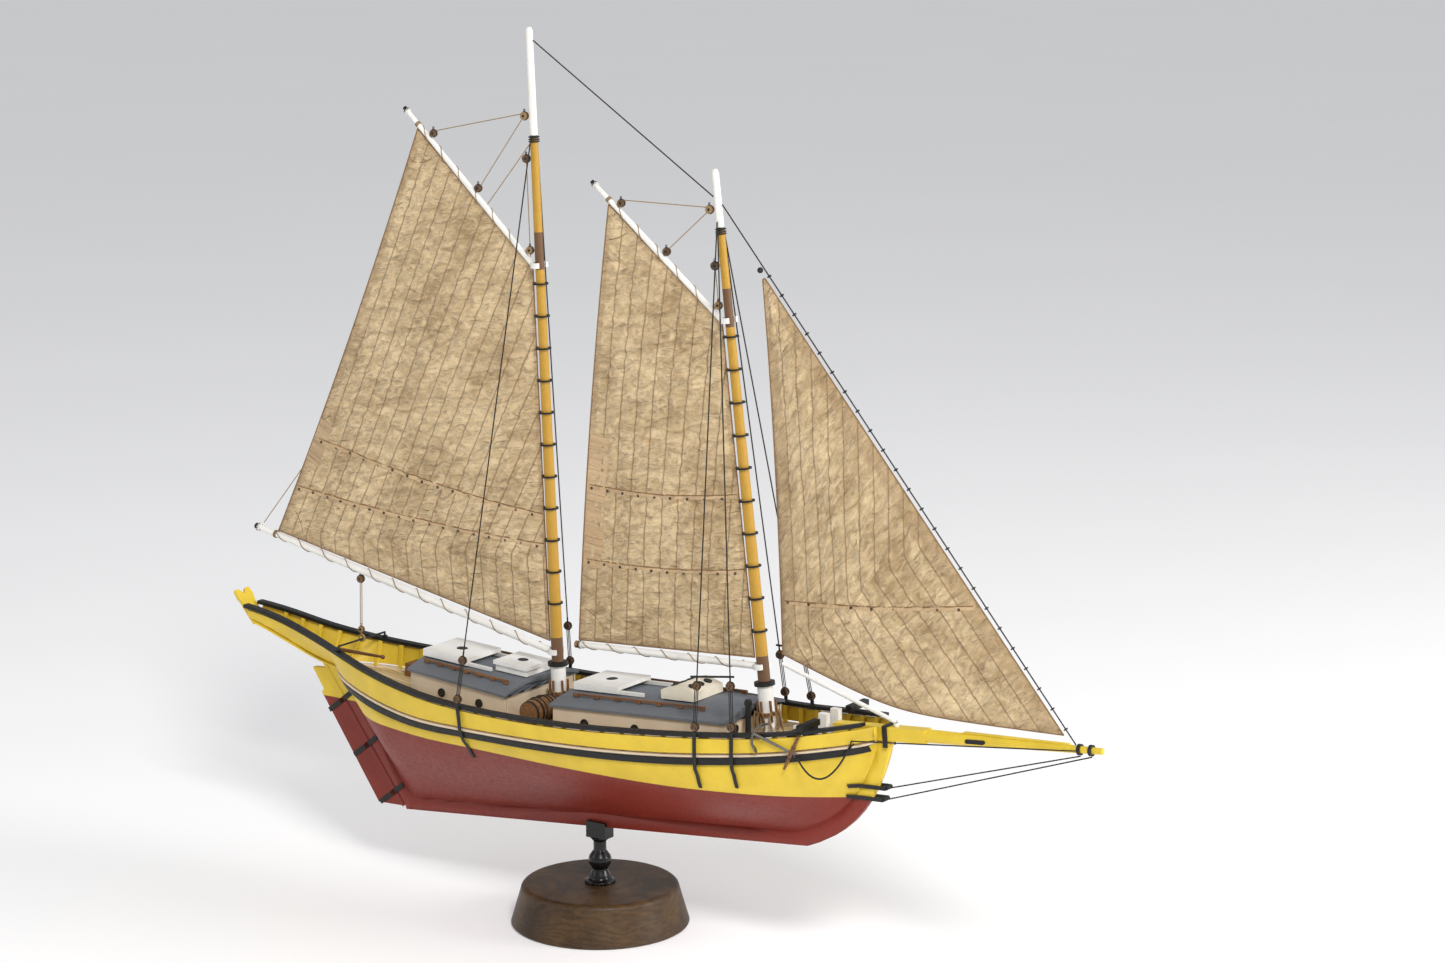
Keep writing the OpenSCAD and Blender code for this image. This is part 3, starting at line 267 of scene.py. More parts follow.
    def close(self, colour: object, rough: object, normal: Optional[bpy.types.NodeSocket] = None,
              **constants: object) -> bpy.types.Material:
        """Feeds the shader.

        Args:
            colour: colour socket.
            rough: roughness socket or number.
            normal: bump's normal.
            constants: other shader sockets by name, with underscores for spaces.

        Returns:
            The finished material.
        """
        self.join(colour, self.shader.inputs["Base Color"])
        self.join(rough, self.shader.inputs["Roughness"])
        if normal is not None:
            self.join(normal, self.shader.inputs["Normal"])
        for key, value in constants.items():
            self.shader.inputs[key.replace("_", " ")].default_value = value
        return self.material


@dataclass(frozen=True)
class Paint:
    """Brushed paint over wood, a little uneven, with dull rubbed places."""

    name: str
    colour: Colour
    gloss: float = 0.36
    grain: Grain = Grain.FORE_AND_AFT
    bottom: Optional[Colour] = None
    bottom_top: float = 0.0

    def material(self) -> bpy.types.Material:
        """Draws the paint; a bottom colour fills all below bottom_top."""
        pen = Pen(self.name)
        streak = pen.noise(pen.scaled(pen.place, self.grain.value), 3.0, 5.0, 0.6)
        cloud = pen.noise(pen.place, 0.045, 3.0)
        base: object = self.colour
        if self.bottom is not None:
            height = pen.plus(pen.axis(pen.place, "Z"),
                             pen.times(pen.noise(pen.place, 0.4, 2.0), 0.25))
            edge = pen.mask(height, self.bottom_top - 0.15, self.bottom_top + 0.25)
            base = pen.mix(edge, self.bottom, self.colour)
        shade = pen.ramp(cloud, [(0.3, (0.86, 0.85, 0.84)), (0.7, (1.0, 1.0, 1.0))])
        colour = pen.mix(1.0, base, shade, "MULTIPLY")
        grime = pen.mask(pen.noise(pen.place, 0.22, 6.0, 0.7), 0.58, 0.78, 0.0, 0.22)
        colour = pen.mix(grime, colour, tuple(c * 0.55 for c in self.colour) if self.bottom is None
                         else (0.12, 0.06, 0.03))
        rough = pen.mask(pen.noise(pen.place, 0.3, 5.0, 0.65), 0.3, 0.75, self.gloss, self.gloss + 0.2)
        normal = pen.bump(streak, 0.05)
        normal = pen.bump(pen.noise(pen.place, 1.6, 4.0), 0.025, normal)
        return pen.close(colour, rough, normal, Coat_Weight=0.06, Coat_Roughness=0.3,
                         Specular_IOR_Level=0.38)


@dataclass(frozen=True)
class Wood:
    """Oiled or varnished wood with fibres and pores."""

    name: str
    light: Colour
    dark: Colour
    grain: Grain = Grain.FORE_AND_AFT
    gloss: float = 0.45
    ring: float = 3.2

    def material(self) -> bpy.types.Material:
        """Draws growth rings, fibres and pores."""
        pen = Pen(self.name)
        along = pen.scaled(pen.place, self.grain.value)
        rings = pen.sum("SINE", pen.times(pen.noise(along, 0.9, 3.0, 0.5, 0.6), self.ring * 9.0))
        rings = pen.mask(rings, -1.0, 1.0)
        fibre = pen.noise(along, 7.0, 6.0, 0.7)
        body = pen.ramp(pen.plus(pen.times(rings, 0.35), pen.times(fibre, 0.65)),
                        [(0.2, self.dark), (0.75, self.light)])
        pores = pen.mask(pen.noise(along, 16.0, 2.0), 0.6, 0.72, 0.0, 0.55)
        colour = pen.mix(pores, body, tuple(c * 0.35 for c in self.dark))
        rough = pen.mask(fibre, 0.2, 0.8, self.gloss, self.gloss + 0.25)
        normal = pen.bump(fibre, 0.06)
        normal = pen.bump(pores, -0.05, normal)
        return pen.close(colour, rough, normal, Coat_Weight=0.15, Coat_Roughness=0.28)


@dataclass(frozen=True)
class StandWood:
    """Dark oiled oak: slanting rings, an oval knot near the rim, and open pores."""

    name: str = "stand_wood"
    knot: Point = (-34.0, -46.0, 16.0)

    def material(self) -> bpy.types.Material:
        """Draws rings that close into the knot."""
        pen = Pen(self.name)
        shifted = pen.moved(pen.place, tuple(-k for k in self.knot))
        squeezed = pen.scaled(shifted, (0.85, 0.85, 1.7))
        length = pen.add("ShaderNodeVectorMath", operation="LENGTH")
        pen.join(squeezed, length.inputs[0])
        reach = length.outputs["Value"]
        near = pen.mask(reach, 6.0, 42.0, 1.0, 0.0)
        drift = pen.noise(pen.scaled(pen.place, (0.35, 0.35, 1.0)), 0.05, 4.0, 0.55)
        flat = pen.plus(pen.times(pen.axis(pen.place, "Z"), 0.23),
                       pen.plus(pen.times(pen.axis(pen.place, "X"), 0.035),
                               pen.times(drift, 9.0)))
        knot = pen.times(pen.times(reach, near), 0.32)
        rings = pen.sum("FRACT", pen.plus(flat, knot))
        band = pen.ramp(rings, [(0.0, tone(44, 29, 13)), (0.55, tone(92, 66, 32)),
                                (0.86, tone(72, 49, 23)), (1.0, tone(30, 19, 9))])
        fibre = pen.noise(pen.scaled(pen.place, (0.06, 0.5, 0.9)), 2.4, 7.0, 0.72)
        body = pen.mix(0.55, band, pen.ramp(fibre, [(0.32, tone(34, 22, 10)), (0.68, tone(104, 76, 40))]))
        cloud = pen.noise(pen.place, 0.03, 3.0)
        shade = pen.ramp(cloud, [(0.35, (0.45, 0.42, 0.4)), (0.62, (1.0, 1.0, 1.0))])
        body = pen.mix(1.0, body, shade, "MULTIPLY")
        heart = pen.mask(reach, 3.0, 8.0, 0.85, 0.0)
        body = pen.mix(heart, body, tone(22, 14, 8))
        pores = pen.mask(pen.noise(pen.scaled(pen.place, (0.05, 0.5, 0.5)), 5.5, 3.0), 0.6, 0.7, 0.0, 0.7)
        colour = pen.mix(pores, body, tone(16, 10, 6))
        rough = pen.mask(fibre, 0.25, 0.75, 0.38, 0.62)
        normal = pen.bump(pores, -0.18)
        normal = pen.bump(fibre, 0.08, normal)
        return pen.close(colour, rough, normal, Coat_Weight=0.08, Coat_Roughness=0.35,
                         Specular_IOR_Level=0.35)


@dataclass(frozen=True)
class Planked:
    """Scrubbed deck planks with dark seams and butts."""

    name: str = "deck_planks"
    width: float = 5.0
    length: float = 118.0

    def material(self) -> bpy.types.Material:
        """Draws narrow fore-and-aft planks."""
        pen = Pen(self.name)
        brick = pen.add("ShaderNodeTexBrick", offset=0.37, offset_frequency=2)
        pen.join(pen.place, brick.inputs["Vector"])
        for key, value in (("Scale", 1.0), ("Mortar Size", 0.22), ("Mortar Smooth", 0.15),
                           ("Brick Width", self.length), ("Row Height", self.width), ("Bias", 0.0)):
            brick.inputs[key].default_value = value
        brick.inputs["Color1"].default_value = (*tone(206, 178, 128), 1.0)
        brick.inputs["Color2"].default_value = (*tone(226, 202, 156), 1.0)
        brick.inputs["Mortar"].default_value = (*tone(84, 62, 40), 1.0)
        fibre = pen.noise(pen.scaled(pen.place, Grain.FORE_AND_AFT.value), 6.0, 6.0, 0.7)
        tint = pen.ramp(fibre, [(0.25, (0.72, 0.68, 0.6)), (0.7, (1.0, 1.0, 1.0))])
        colour = pen.mix(1.0, brick.outputs["Color"], tint, "MULTIPLY")
        normal = pen.bump(brick.outputs["Fac"], -0.2)
        normal = pen.bump(fibre, 0.06, normal)
        rough = pen.mask(fibre, 0.2, 0.8, 0.55, 0.8)
        return pen.close(colour, rough, normal)


@dataclass(frozen=True)
class Metal:
    """Blackened or bare metal, cast and handled."""

    name: str
    colour: Colour
    rough: float = 0.42
    metallic: float = 0.7

    def material(self) -> bpy.types.Material:
        """Draws small pits and rubbed patches."""
        pen = Pen(self.name)
        rub = pen.noise(pen.place, 0.5, 5.0, 0.65)
        colour = pen.ramp(rub, [(0.35, self.colour), (0.75, tuple(c * 1.9 + 0.01 for c in self.colour))])
        rough = pen.mask(rub, 0.3, 0.8, self.rough, self.rough + 0.25)
        normal = pen.bump(pen.noise(pen.place, 3.0, 4.0), 0.04)
        return pen.close(colour, rough, normal, Metallic=self.metallic)


@dataclass(frozen=True)
class Rope:
    """Laid cord; its strands wind along the cord's own length."""

    name: str
    light: Colour
    dark: Colour
    lay: float = 1.4
    wound: bool = True

    def material(self) -> bpy.types.Material:
        """Draws slanting strands, or loose fibres on a plain rod."""
        pen = Pen(self.name)
        if self.wound:
            around = pen.times(pen.axis(pen.uv, "X"), 0.003)
            along = pen.sum("DIVIDE", pen.axis(pen.uv, "Y"), self.lay)
            strand = pen.mask(pen.sum("PINGPONG", pen.plus(around, along), 0.5), 0.0, 0.5)
        else:
            slant = pen.plus(pen.times(pen.axis(pen.place, "Z"), 0.8),
                            pen.plus(pen.axis(pen.place, "Y"),
                                    pen.times(pen.axis(pen.place, "X"), 0.8)))
            strand = pen.mask(pen.sum("PINGPONG", slant, 0.55), 0.0, 0.55)
        fuzz = pen.noise(pen.place, 5.0, 5.0, 0.7)
        share = pen.plus(pen.times(strand, 0.65), pen.times(fuzz, 0.35))
        colour = pen.ramp(share, [(0.2, self.dark), (0.75, self.light)])
        normal = pen.bump(strand, 0.22)
        normal = pen.bump(fuzz, 0.05, normal)
        return pen.close(colour, pen.mask(fuzz, 0.2, 0.8, 0.7, 0.92), normal)


@dataclass(frozen=True)
class Canvas:
    """Tan cotton sailcloth: fine weave, stitched seams, doubled tablings and creases, with painted shade and
    painted highlight along the creases.
    """

    name: str
    cloth: Colour = tone(230, 203, 158)
    # shade is the darker cloth colour: painted shade in the crease hollows, and also the darker end of the
    # random tint.
    shade: Colour = tone(172, 142, 98)
    pitch: float = 15.0

    def material(self) -> bpy.types.Material:
        """Draws the cloth with painted shade in the crease hollows and painted highlight on the crease
        ridges; UV holds the way across the seams and the height, in metres.
        """
        pen = Pen(self.name)
        across, height = pen.axis(pen.uv, "X"), pen.axis(pen.uv, "Y")
        warp = pen.sum("PINGPONG", across, 0.32)
        weft = pen.sum("PINGPONG", height, 0.3)
        weave = pen.mask(pen.plus(warp, weft), 0.12, 0.5)
        crease = pen.noise(pen.scaled(pen.uv, (0.6, 1.0, 1.0)), 0.16, 6.0, 0.62, 1.1)
        folds = pen.noise(pen.scaled(pen.uv, (0.35, 1.0, 1.0)), 0.09, 3.0, 0.5, 2.0)
        seam = pen.lines(across, self.pitch, 1.05)
        stitch = pen.times(pen.lines(across, self.pitch, 0.35), pen.lines(height, 1.1, 0.3))
        mark = pen.add("ShaderNodeAttribute", attribute_name="hem")
        hem = mark.outputs["Fac"]
        tint = pen.noise(pen.uv, 0.02, 4.0, 0.6)
        # The colour follows the crease noise that also raises the bump, so crease hollows get painted shade
        # and crease ridges painted highlight, mixed with a random tint.
        base = pen.ramp(pen.plus(pen.times(crease, 0.6), pen.times(tint, 0.5)),
                        [(0.42, self.shade), (0.64, self.cloth)])
        base = pen.mix(pen.times(seam, 0.8), base, tone(140, 104, 62))
        base = pen.mix(pen.times(hem, 0.42), base, tone(166, 132, 90))
        base = pen.mix(pen.times(stitch, 0.35), base, tone(116, 86, 54))
        flecks = pen.mask(pen.noise(pen.uv, 1.4, 3.0, 0.7), 0.66, 0.78, 0.0, 0.22)
        base = pen.mix(flecks, base, tone(150, 116, 74))
        normal = pen.bump(crease, 4.4)
        normal = pen.bump(folds, 3.6, normal)
        normal = pen.bump(seam, 0.3, normal)
        normal = pen.bump(weave, 0.05, normal)
        rough = pen.mask(weave, 0.0, 1.0, 0.86, 0.72)
        return pen.close(base, rough, normal, Sheen_Weight=0.25, Sheen_Roughness=0.5)


@dataclass(frozen=True)
class Banded:
    """Painted mast with bands of other colours at set heights up the mast."""

    name: str
    foot: float
    lean: float
    bands: tuple[tuple[float, Colour], ...] = ()
    span: float = 600.0

    def material(self) -> bpy.types.Material:
        """Draws the bands; each entry gives the height where a colour starts."""
        pen = Pen(self.name)
        height = pen.plus(pen.axis(pen.place, "Z"),
                         pen.times(pen.axis(pen.place, "X"), -math.tan(self.lean)))
        height = pen.times(height, math.cos(self.lean))
        share = pen.sum("DIVIDE", pen.sum("SUBTRACT", height, self.foot), self.span)
        base = pen.ramp(share, [(z / self.span, c) for z, c in self.bands], sharp=True)
        fibre = pen.noise(pen.scaled(pen.place, Grain.UPRIGHT.value), 5.0, 6.0, 0.7)
        tint = pen.ramp(fibre, [(0.3, (0.7, 0.66, 0.58)), (0.65, (1.0, 1.0, 1.0))])
        colour = pen.mix(0.7, base, pen.mix(1.0, base, tint, "MULTIPLY"))
        scuff = pen.mask(pen.noise(pen.place, 0.25, 5.0, 0.7), 0.6, 0.75, 0.0, 0.3)
        colour = pen.mix(scuff, colour, tone(120, 88, 34))
        rough = pen.mask(fibre, 0.2, 0.8, 0.4, 0.6)
        return pen.close(colour, rough, pen.bump(fibre, 0.06), Coat_Weight=0.1, Coat_Roughness=0.3)


@dataclass(frozen=True)
class Glass:
    """Dark port glass."""

    name: str = "port_glass"

    def material(self) -> bpy.types.Material:
        """Draws nearly black glass with faint ripples."""
        pen = Pen(self.name)
        ripple = pen.noise(pen.place, 0.6, 2.0)
        colour = pen.ramp(ripple, [(0.3, tone(16, 18, 20)), (0.8, tone(40, 44, 46))])
        return pen.close(colour, 0.08, pen.bump(ripple, 0.03), Coat_Weight=1.0, Coat_Roughness=0.04)


@dataclass(frozen=True)
class PaleFloor:
    """Plain pale paper for the floor."""

    name: str = "pale_floor"

    def material(self) -> bpy.types.Material:
        """Draws paper with very faint cloudiness."""
        pen = Pen(self.name)
        cloud = pen.noise(pen.place, 0.002, 3.0)
        colour = pen.ramp(cloud, [(0.3, tone(243, 243, 244)), (0.7, tone(245, 245, 246))])
        return pen.close(colour, 0.9, pen.bump(pen.noise(pen.place, 1.0, 3.0), 0.02),
                         Emission_Color=(1.0, 1.0, 1.0, 1.0), Emission_Strength=0.14)


class Store:
    """Keeps one material for each finish, made when first asked for."""

    def __init__(self) -> None:
        """Starts empty."""
        self.made: dict[str, bpy.types.Material] = {}

    def get(self, finish: object) -> bpy.types.Material:
        """The material of a finish."""
        name = finish.name
        if name not in self.made:
            self.made[name] = finish.material()
        return self.made[name]


CREAM, WHITE = tone(222, 204, 178), tone(238, 236, 231)
YELLOW, RED = tone(226, 194, 56), tone(128, 40, 26)
WATERLINE = 139.7
SPRIT_RISE, SPRIT_HALF, SPRIT_TIP, SPRIT_TAPER = 4.6, 5.0, 2.3, 118.0

HULL = Paint("hull_paint", YELLOW, 0.42, bottom=RED, bottom_top=WATERLINE)
GOLD = Paint("yellow_paint", YELLOW, 0.34)
BLACK = Paint("black_paint", tone(15, 16, 16), 0.46)
CABIN = Paint("cream_paint", CREAM, 0.45)
ENAMEL = Paint("white_paint", WHITE, 0.4)
SLATE = Paint("grey_paint", tone(106, 111, 118), 0.55)
IVORY = Paint("ivory_paint", tone(232, 222, 202), 0.42)
STAND = StandWood()
POST = Paint("post_black", tone(14, 14, 15), 0.16, Grain.UPRIGHT)
DECK = Planked()
VARNISH = Wood("varnish", tone(134, 88, 44), tone(78, 46, 20))
BLOCK = Wood("block_wood", tone(110, 78, 42), tone(58, 38, 18), Grain.UPRIGHT)
STAVE = Wood("cask_wood", tone(146, 104, 62), tone(84, 54, 28), Grain.ATHWART)
IRON = Metal("black_iron", tone(34, 34, 34), 0.45, 0.5)
STEEL = Metal("anchor_iron", tone(92, 90, 86), 0.4, 0.8)
BLACK_ROPE = Rope("black_rope", tone(44, 40, 36), tone(14, 13, 12), wound=False)
TAN_ROPE = Rope("tan_rope", tone(176, 146, 102), tone(112, 84, 50), wound=False)
LAID_TAN = Rope("laid_tan", tone(178, 148, 102), tone(104, 76, 44), 1.3)
LAID_BLACK = Rope("laid_black", tone(50, 46, 42), tone(14, 13, 12), 1.3)
BOLT_ROPE = Rope("bolt_rope", tone(164, 128, 84), tone(92, 64, 38), 1.7)
GLASS = Glass()
STORE = Store()


class Stock:
    """Gathers the faces of one piece before it is made; points are in metres."""

    def __init__(self) -> None:
        """Starts empty."""
        self.points: list[Vector] = []
        self.faces: list[tuple[int, ...]] = []
        self.loops: list[tuple[float, float]] = []
        self.marks: list[int] = []

    def face(self, corners: Sequence[int], uv: Sequence[tuple[float, float]], mark: int = 0) -> None:
        """Adds one face with its UV corners and finish number."""
        self.faces.append(tuple(corners))
        self.loops.extend(uv)
        self.marks.append(mark)

    def sheet(self, rows: Sequence[Sequence[Vector]], uv: Sequence[Sequence[tuple[float, float]]],
              mark: int = 0) -> None:
        """Adds a grid of quads.

        Args:
            rows: rows of points of equal length.
            uv: UV of each point.
            mark: finish number.
        """
        start, wide = len(self.points), len(rows[0])
        for row in rows:
            self.points.extend(row)
        for i in range(len(rows) - 1):
            for k in range(wide - 1):
                spots = ((i, k), (i, k + 1), (i + 1, k + 1), (i + 1, k))
                self.face([start + a * wide + b for a, b in spots], [uv[a][b] for a, b in spots], mark)

    def tube(self, path: Sequence[Vector], radius: object, sides: int = 8, closed: bool = False,
             mark: int = 0) -> None:
        """Adds a round tube along a path.

        Args:
            path: centre points.
            radius: one radius, or one for each point.
            sides: points around.
            closed: joins the end to the start.
            mark: finish number.
        """
        count = len(path)
        radii = [radius] * count if isinstance(radius, (int, float)) else list(radius)
        start, run = len(self.points), 0.0
        side = None
        runs: list[float] = []
        for i, spot in enumerate(path):
            ahead = path[(i + 1) % count] if closed or i + 1 < count else spot
            behind = path[i - 1] if closed or i > 0 else spot
            way = (ahead - behind).normalized()
            if side is None:
                side = way.cross(Vector((0.0, 0.0, 1.0)) if abs(way.z) < 0.9 else Vector((1.0, 0.0, 0.0)))
            side = (side - way * side.dot(way)).normalized()
            other = way.cross(side)
            if i:
                run += (spot - path[i - 1]).length
            runs.append(run)
            for k in range(sides):
                turn = 2 * math.pi * k / sides
                self.points.append(spot + (side * math.cos(turn) + other * math.sin(turn)) * radii[i])
        for i in range(count if closed else count - 1):
            j = (i + 1) % count
            far = runs[j] if j else runs[-1] + (path[0] - path[-1]).length
            for k in range(sides):
                m = (k + 1) % sides
                here, there = start + i * sides, start + j * sides
                self.face([here + k, here + m, there + m, there + k],
                          [(k / sides, runs[i]), ((k + 1) / sides, runs[i]), ((k + 1) / sides, far),
                           (k / sides, far)], mark)
        if not closed:
            for i, turn in ((0, -1), (count - 1, 1)):
                ring = [start + i * sides + k for k in range(sides)][::turn]
                self.face(ring, [(0.0, runs[i])] * sides, mark)

    def loft(self, rings: Sequence[Sequence[Vector]], mark: int = 0) -> None:
        """Joins closed rings of equal length, and caps both ends."""
        start, wide = len(self.points), len(rings[0])
        for ring in rings:
            self.points.extend(ring)
        for i in range(len(rings) - 1):
            for k in range(wide):
                m = (k + 1) % wide
                self.face([start + i * wide + k, start + i * wide + m,
                           start + (i + 1) * wide + m, start + (i + 1) * wide + k],
                          [(k * MM, i * MM), (k * MM + MM, i * MM), (k * MM + MM, i * MM + MM),
                           (k * MM, i * MM + MM)], mark)
        for i, turn in ((0, -1), (len(rings) - 1, 1)):
            self.face([start + i * wide + k for k in range(wide)][::turn], [(0.0, 0.0)] * wide, mark)

    def hoop(self, centre: Vector, facing: Vector, radius: float, thick: float, sides: int = 8,
             mark: int = 0, steps: int = 28) -> None:
        """Adds a ring of round section.

        Args:
            centre: middle of the ring.
            facing: direction of its axis.
            radius: radius to the middle of the section.
            thick: radius of the section.
            sides: points round the section.
            mark: finish number.
            steps: points round the ring.
        """
        axis = facing.normalized()
        u = axis.orthogonal().normalized()
        v = axis.cross(u)
        path = [centre + (u * math.cos(a) + v * math.sin(a)) * radius
                for a in (2 * math.pi * k / steps for k in range(steps))]
        self.tube(path, thick, sides, True, mark)

    def turned(self, foot: Vector, way: Vector, profile: Sequence[tuple[float, float]], sides: int = 32,
               mark: int = 0) -> None:
        """Adds a turned piece.

        Args:
            foot: point where the profile's length is zero.
            way: direction of the axis.
            profile: (along, radius) pairs in metres.
            sides: points around.
            mark: finish number.
        """
        way = way.normalized()
        self.tube([foot + way * a + way * 1e-7 * i for i, (a, _) in enumerate(profile)],
                  [max(r, 1e-6) for _, r in profile], sides, False, mark)

    def piece(self, name: str, body: str, finishes: Sequence[object], slot: str,
              sharp: float = 42.0) -> bpy.types.Object:
        """Makes the object and lets it ride.

        Args:
            name: the piece's name.
            body: CAD body that it rides on.
            finishes: finishes by number.
            slot: not used.
            sharp: edges steeper than this stay crisp, in degrees.

        Returns:
            The new object.
        """
        mesh = bpy.data.meshes.new(name)
        mesh.from_pydata([tuple(p) for p in self.points], [], self.faces)
        layer = mesh.uv_layers.new(name="cloth")
        layer.data.foreach_set("uv", [n for pair in self.loops for n in pair])
        for finish in finishes:
            mesh.materials.append(STORE.get(finish))
        mesh.polygons.foreach_set("material_index", self.marks)
        mesh.polygons.foreach_set("use_smooth", [True] * len(self.faces))
        mesh.update()
        mesh.set_sharp_from_angle(angle=math.radians(sharp))
        thing = bpy.data.objects.new(name, mesh)
        bpy.context.scene.collection.objects.link(thing)
        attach(thing, body)
        LOG.info("%s: %d faces, rides on %s", name, len(self.faces), body)
        return thing


@dataclass(frozen=True)
class Axle:
    """The line that a rig swings on: local X points forward across it and Z up it, in millimetres."""

    origin: Vector
    up: Vector

    @classmethod
    def of(cls, joint: str) -> "Axle":
        """The axle of a named joint in the record."""
        found = next(j for j in frame["joints"] if j["name"] == joint)
        return cls(Vector(found["pos_m"]), Vector(found["axis"]).normalized())

    def local(self, spot: Vector) -> Flat:
        """A row-frame place's x and z in the axle's own plane, in millimetres."""
        gap = (spot - self.origin) / MM
        return gap.dot(Vector((self.up.z, 0.0, -self.up.x))), gap.dot(self.up)

    def at(self, x: float, y: float, z: float) -> Vector:
        """A local point in the row frame, in metres."""
        across = Vector((self.up.z, 0.0, -self.up.x))
        return self.origin + (across * x + Vector((0.0, 1.0, 0.0)) * y + self.up * z) * MM


@dataclass(frozen=True)
class Spar:
    """A boom or gaff, by its place on the mast and its slope."""

    z: float
    slope: float
    length: float
    radius: float
    tip: float
    reach: float = 6.6

    def at(self, along: float, off: float = 0.0) -> tuple[float, float]:
        """The local (x, z) of a place along the spar and off above its middle."""
        a = math.radians(self.slope)
        return (-self.reach - along * math.cos(a) + off * math.sin(a),
                self.z + along * math.sin(a) + off * math.cos(a))

    def thick(self, along: float) -> float:
        """The spar's radius at a place along it."""
        half = self.length / 2
        if along < half:
            return self.radius * (0.9 + 0.1 * along / half)
        return self.radius + (self.tip - self.radius) * (along - half) / half




def between(a: Flat, b: Flat, t: float) -> Flat:
    """A point on the straight line from a to b."""
    return a[0] + (b[0] - a[0]) * t, a[1] + (b[1] - a[1]) * t


def curve(a: Flat, b: Flat, c: Flat, t: float) -> Flat:
    """A point on the curve from a to c that bends towards b."""
    return between(between(a, b, t), between(b, c, t), t)


def pulled(a: Flat, b: Flat, c: Flat, pull: float, t: float) -> Flat:
    """A curve from a to c that a pull over 1 draws closer to b."""
    ends, turn = ((1 - t) ** 2, t ** 2), 2 * pull * t * (1 - t)
    share = ends[0] + turn + ends[1]
    return tuple((ends[0] * p + turn * q + ends[1] * r) / share for p, q, r in zip(a, b, c))


def soft(t: float) -> float:
    """Smooth step from 0 to 1."""
    t = min(max(t, 0.0), 1.0)
    return t * t * (3 - 2 * t)


@dataclass
class Sail:
    """One sail in its axle's plane, with its edges as curves and its belly as depth to starboard."""

    name: str
    body: str
    node: str
    axle: Axle
    corners: tuple[Flat, Flat, Flat, Flat]
    leech_bow: Flat
    foot_bow: Flat
    belly: float = 5.0
    pitch: float = 15.0
    bands: tuple[tuple[Flat, Flat], ...] = ()
    patch: tuple[float, float, float] = (0.0, 0.0, 0.0)
    arcs: tuple[int, ...] = ()
    across: int = 96
    upward: int = 130
    crease: float = 1.55
    seed: float = 0.0
    foot_pull: float = 1.0
    extras: list[bpy.types.Object] = field(default_factory=list)

    def foot(self, u: float) -> Flat:
        """The foot from leech to luff."""
        return pulled(self.corners[0], self.foot_bow, self.corners[1], self.foot_pull, u)

    def head(self, u: float) -> Flat:
        """The head from leech to luff."""
        return between(self.corners[3], self.corners[2], u)

    def leech(self, v: float) -> Flat:
        """The leech from foot to head."""
        return curve(self.corners[0], self.leech_bow, self.corners[3], v)

    def luff(self, v: float) -> Flat:
        """The luff from foot to head."""
        return between(self.corners[1], self.corners[2], v)

    def spot(self, u: float, v: float) -> Flat:
        """A place in the cloth: u from leech to luff, v from foot to head."""
        f, h, le, lu = self.foot(u), self.head(u), self.leech(v), self.luff(v)
        c = self.corners
        return tuple(f[i] * (1 - v) + h[i] * v + le[i] * (1 - u) + lu[i] * u
                     - (c[0][i] * (1 - u) * (1 - v) + c[1][i] * u * (1 - v)
                        + c[3][i] * (1 - u) * v + c[2][i] * u * v) for i in (0, 1))

    def leech_x(self, z: float) -> float:
        """The leech's local x at a height."""
        low, high = 0.0, 1.0
        for _ in range(14):
            mid = (low + high) / 2
            if self.leech(mid)[1] < z:
                low = mid
            else:
                high = mid
        return self.leech((low + high) / 2)[0]

    def depth(self, u: float, v: float, x: float, z: float) -> float:
        """How far the cloth stands off its plane, in millimetres: belly, panels and creases."""
        wind = math.prod(math.sin(math.pi * min(max(t, 0.0), 1.0)) ** 0.8 for t in (u, v))
        edge = soft(min(u, 1 - u) * 9) * soft(min(v, 1 - v) * 11)
        s = x - self.leech_x(z)
        panel = abs(math.sin(math.pi * s / self.pitch)) - 0.55
        fold = noise.fractal(Vector((s / 11 + z / 40, z / 6.5 - s / 16, self.seed)), 0.8, 2.1, 3)
        wide = noise.noise(Vector((s / 42, z / 30, self.seed + 5.0)))
        return -self.belly * wind - edge * (0.5 * panel + self.crease * fold + 1.1 * wide)

    def find(self, x: float, z: float) -> tuple[float, float]:
        """The u and v of a local place, by repeated correction."""
        u, v = 0.5, 0.5
        for _ in range(12):
            here = self.spot(u, v)
            du = [(a - b) / 0.01 for a, b in zip(self.spot(u + 0.01, v), here)]
            dv = [(a - b) / 0.01 for a, b in zip(self.spot(u, v + 0.01), here)]
            det = du[0] * dv[1] - du[1] * dv[0]
            if abs(det) < 1e-9:
                break
            ex, ez = x - here[0], z - here[1]
            u += (ex * dv[1] - ez * dv[0]) / det
            v += (du[0] * ez - du[1] * ex) / det
            u, v = min(max(u, -0.05), 1.05), min(max(v, -0.05), 1.05)
        return u, v

    def on(self, x: float, z: float, lift: float = 0.0) -> Vector:
        """A place on the cloth in the row frame, lifted to port by some millimetres."""
        u, v = self.find(x, z)
        return self.axle.at(x, self.depth(u, v, x, z) + lift, z)

    def cloth(self) -> bpy.types.Object:
        stock, hems = Stock(), []
        rows, uvs = [], []
        for j in range(self.upward + 1):
            v = j / self.upward
            row, uv = [], []
            for i in range(self.across + 1):
                u = i / self.across
                x, z = self.spot(u, v)
                row.append(self.axle.at(x, self.depth(u, v, x, z), z))
                uv.append(((x - self.leech_x(z)) * MM, z * MM))
                wide = math.dist(self.leech(v), self.luff(v))
                tall = math.dist(self.foot(u), self.head(u))
                inside = min(u * wide, (1 - u) * wide, v * tall, (1 - v) * tall)
                hems.append(soft((5.2 - inside) / 0.8))
            rows.append(row)
            uvs.append(uv)
        stock.sheet(rows, uvs)
        thing = stock.piece(self.name, self.body, [CANVAS], "sailcloth", 180.0)
        mark = thing.data.attributes.new("hem", "FLOAT", "POINT")
        mark.data.foreach_set("value", hems)
        skin = thing.modifiers.new("thickness", "SOLIDIFY")
        skin.thickness, skin.offset = 0.5 * MM, 0.0
        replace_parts(thing, self.node)
        return thing

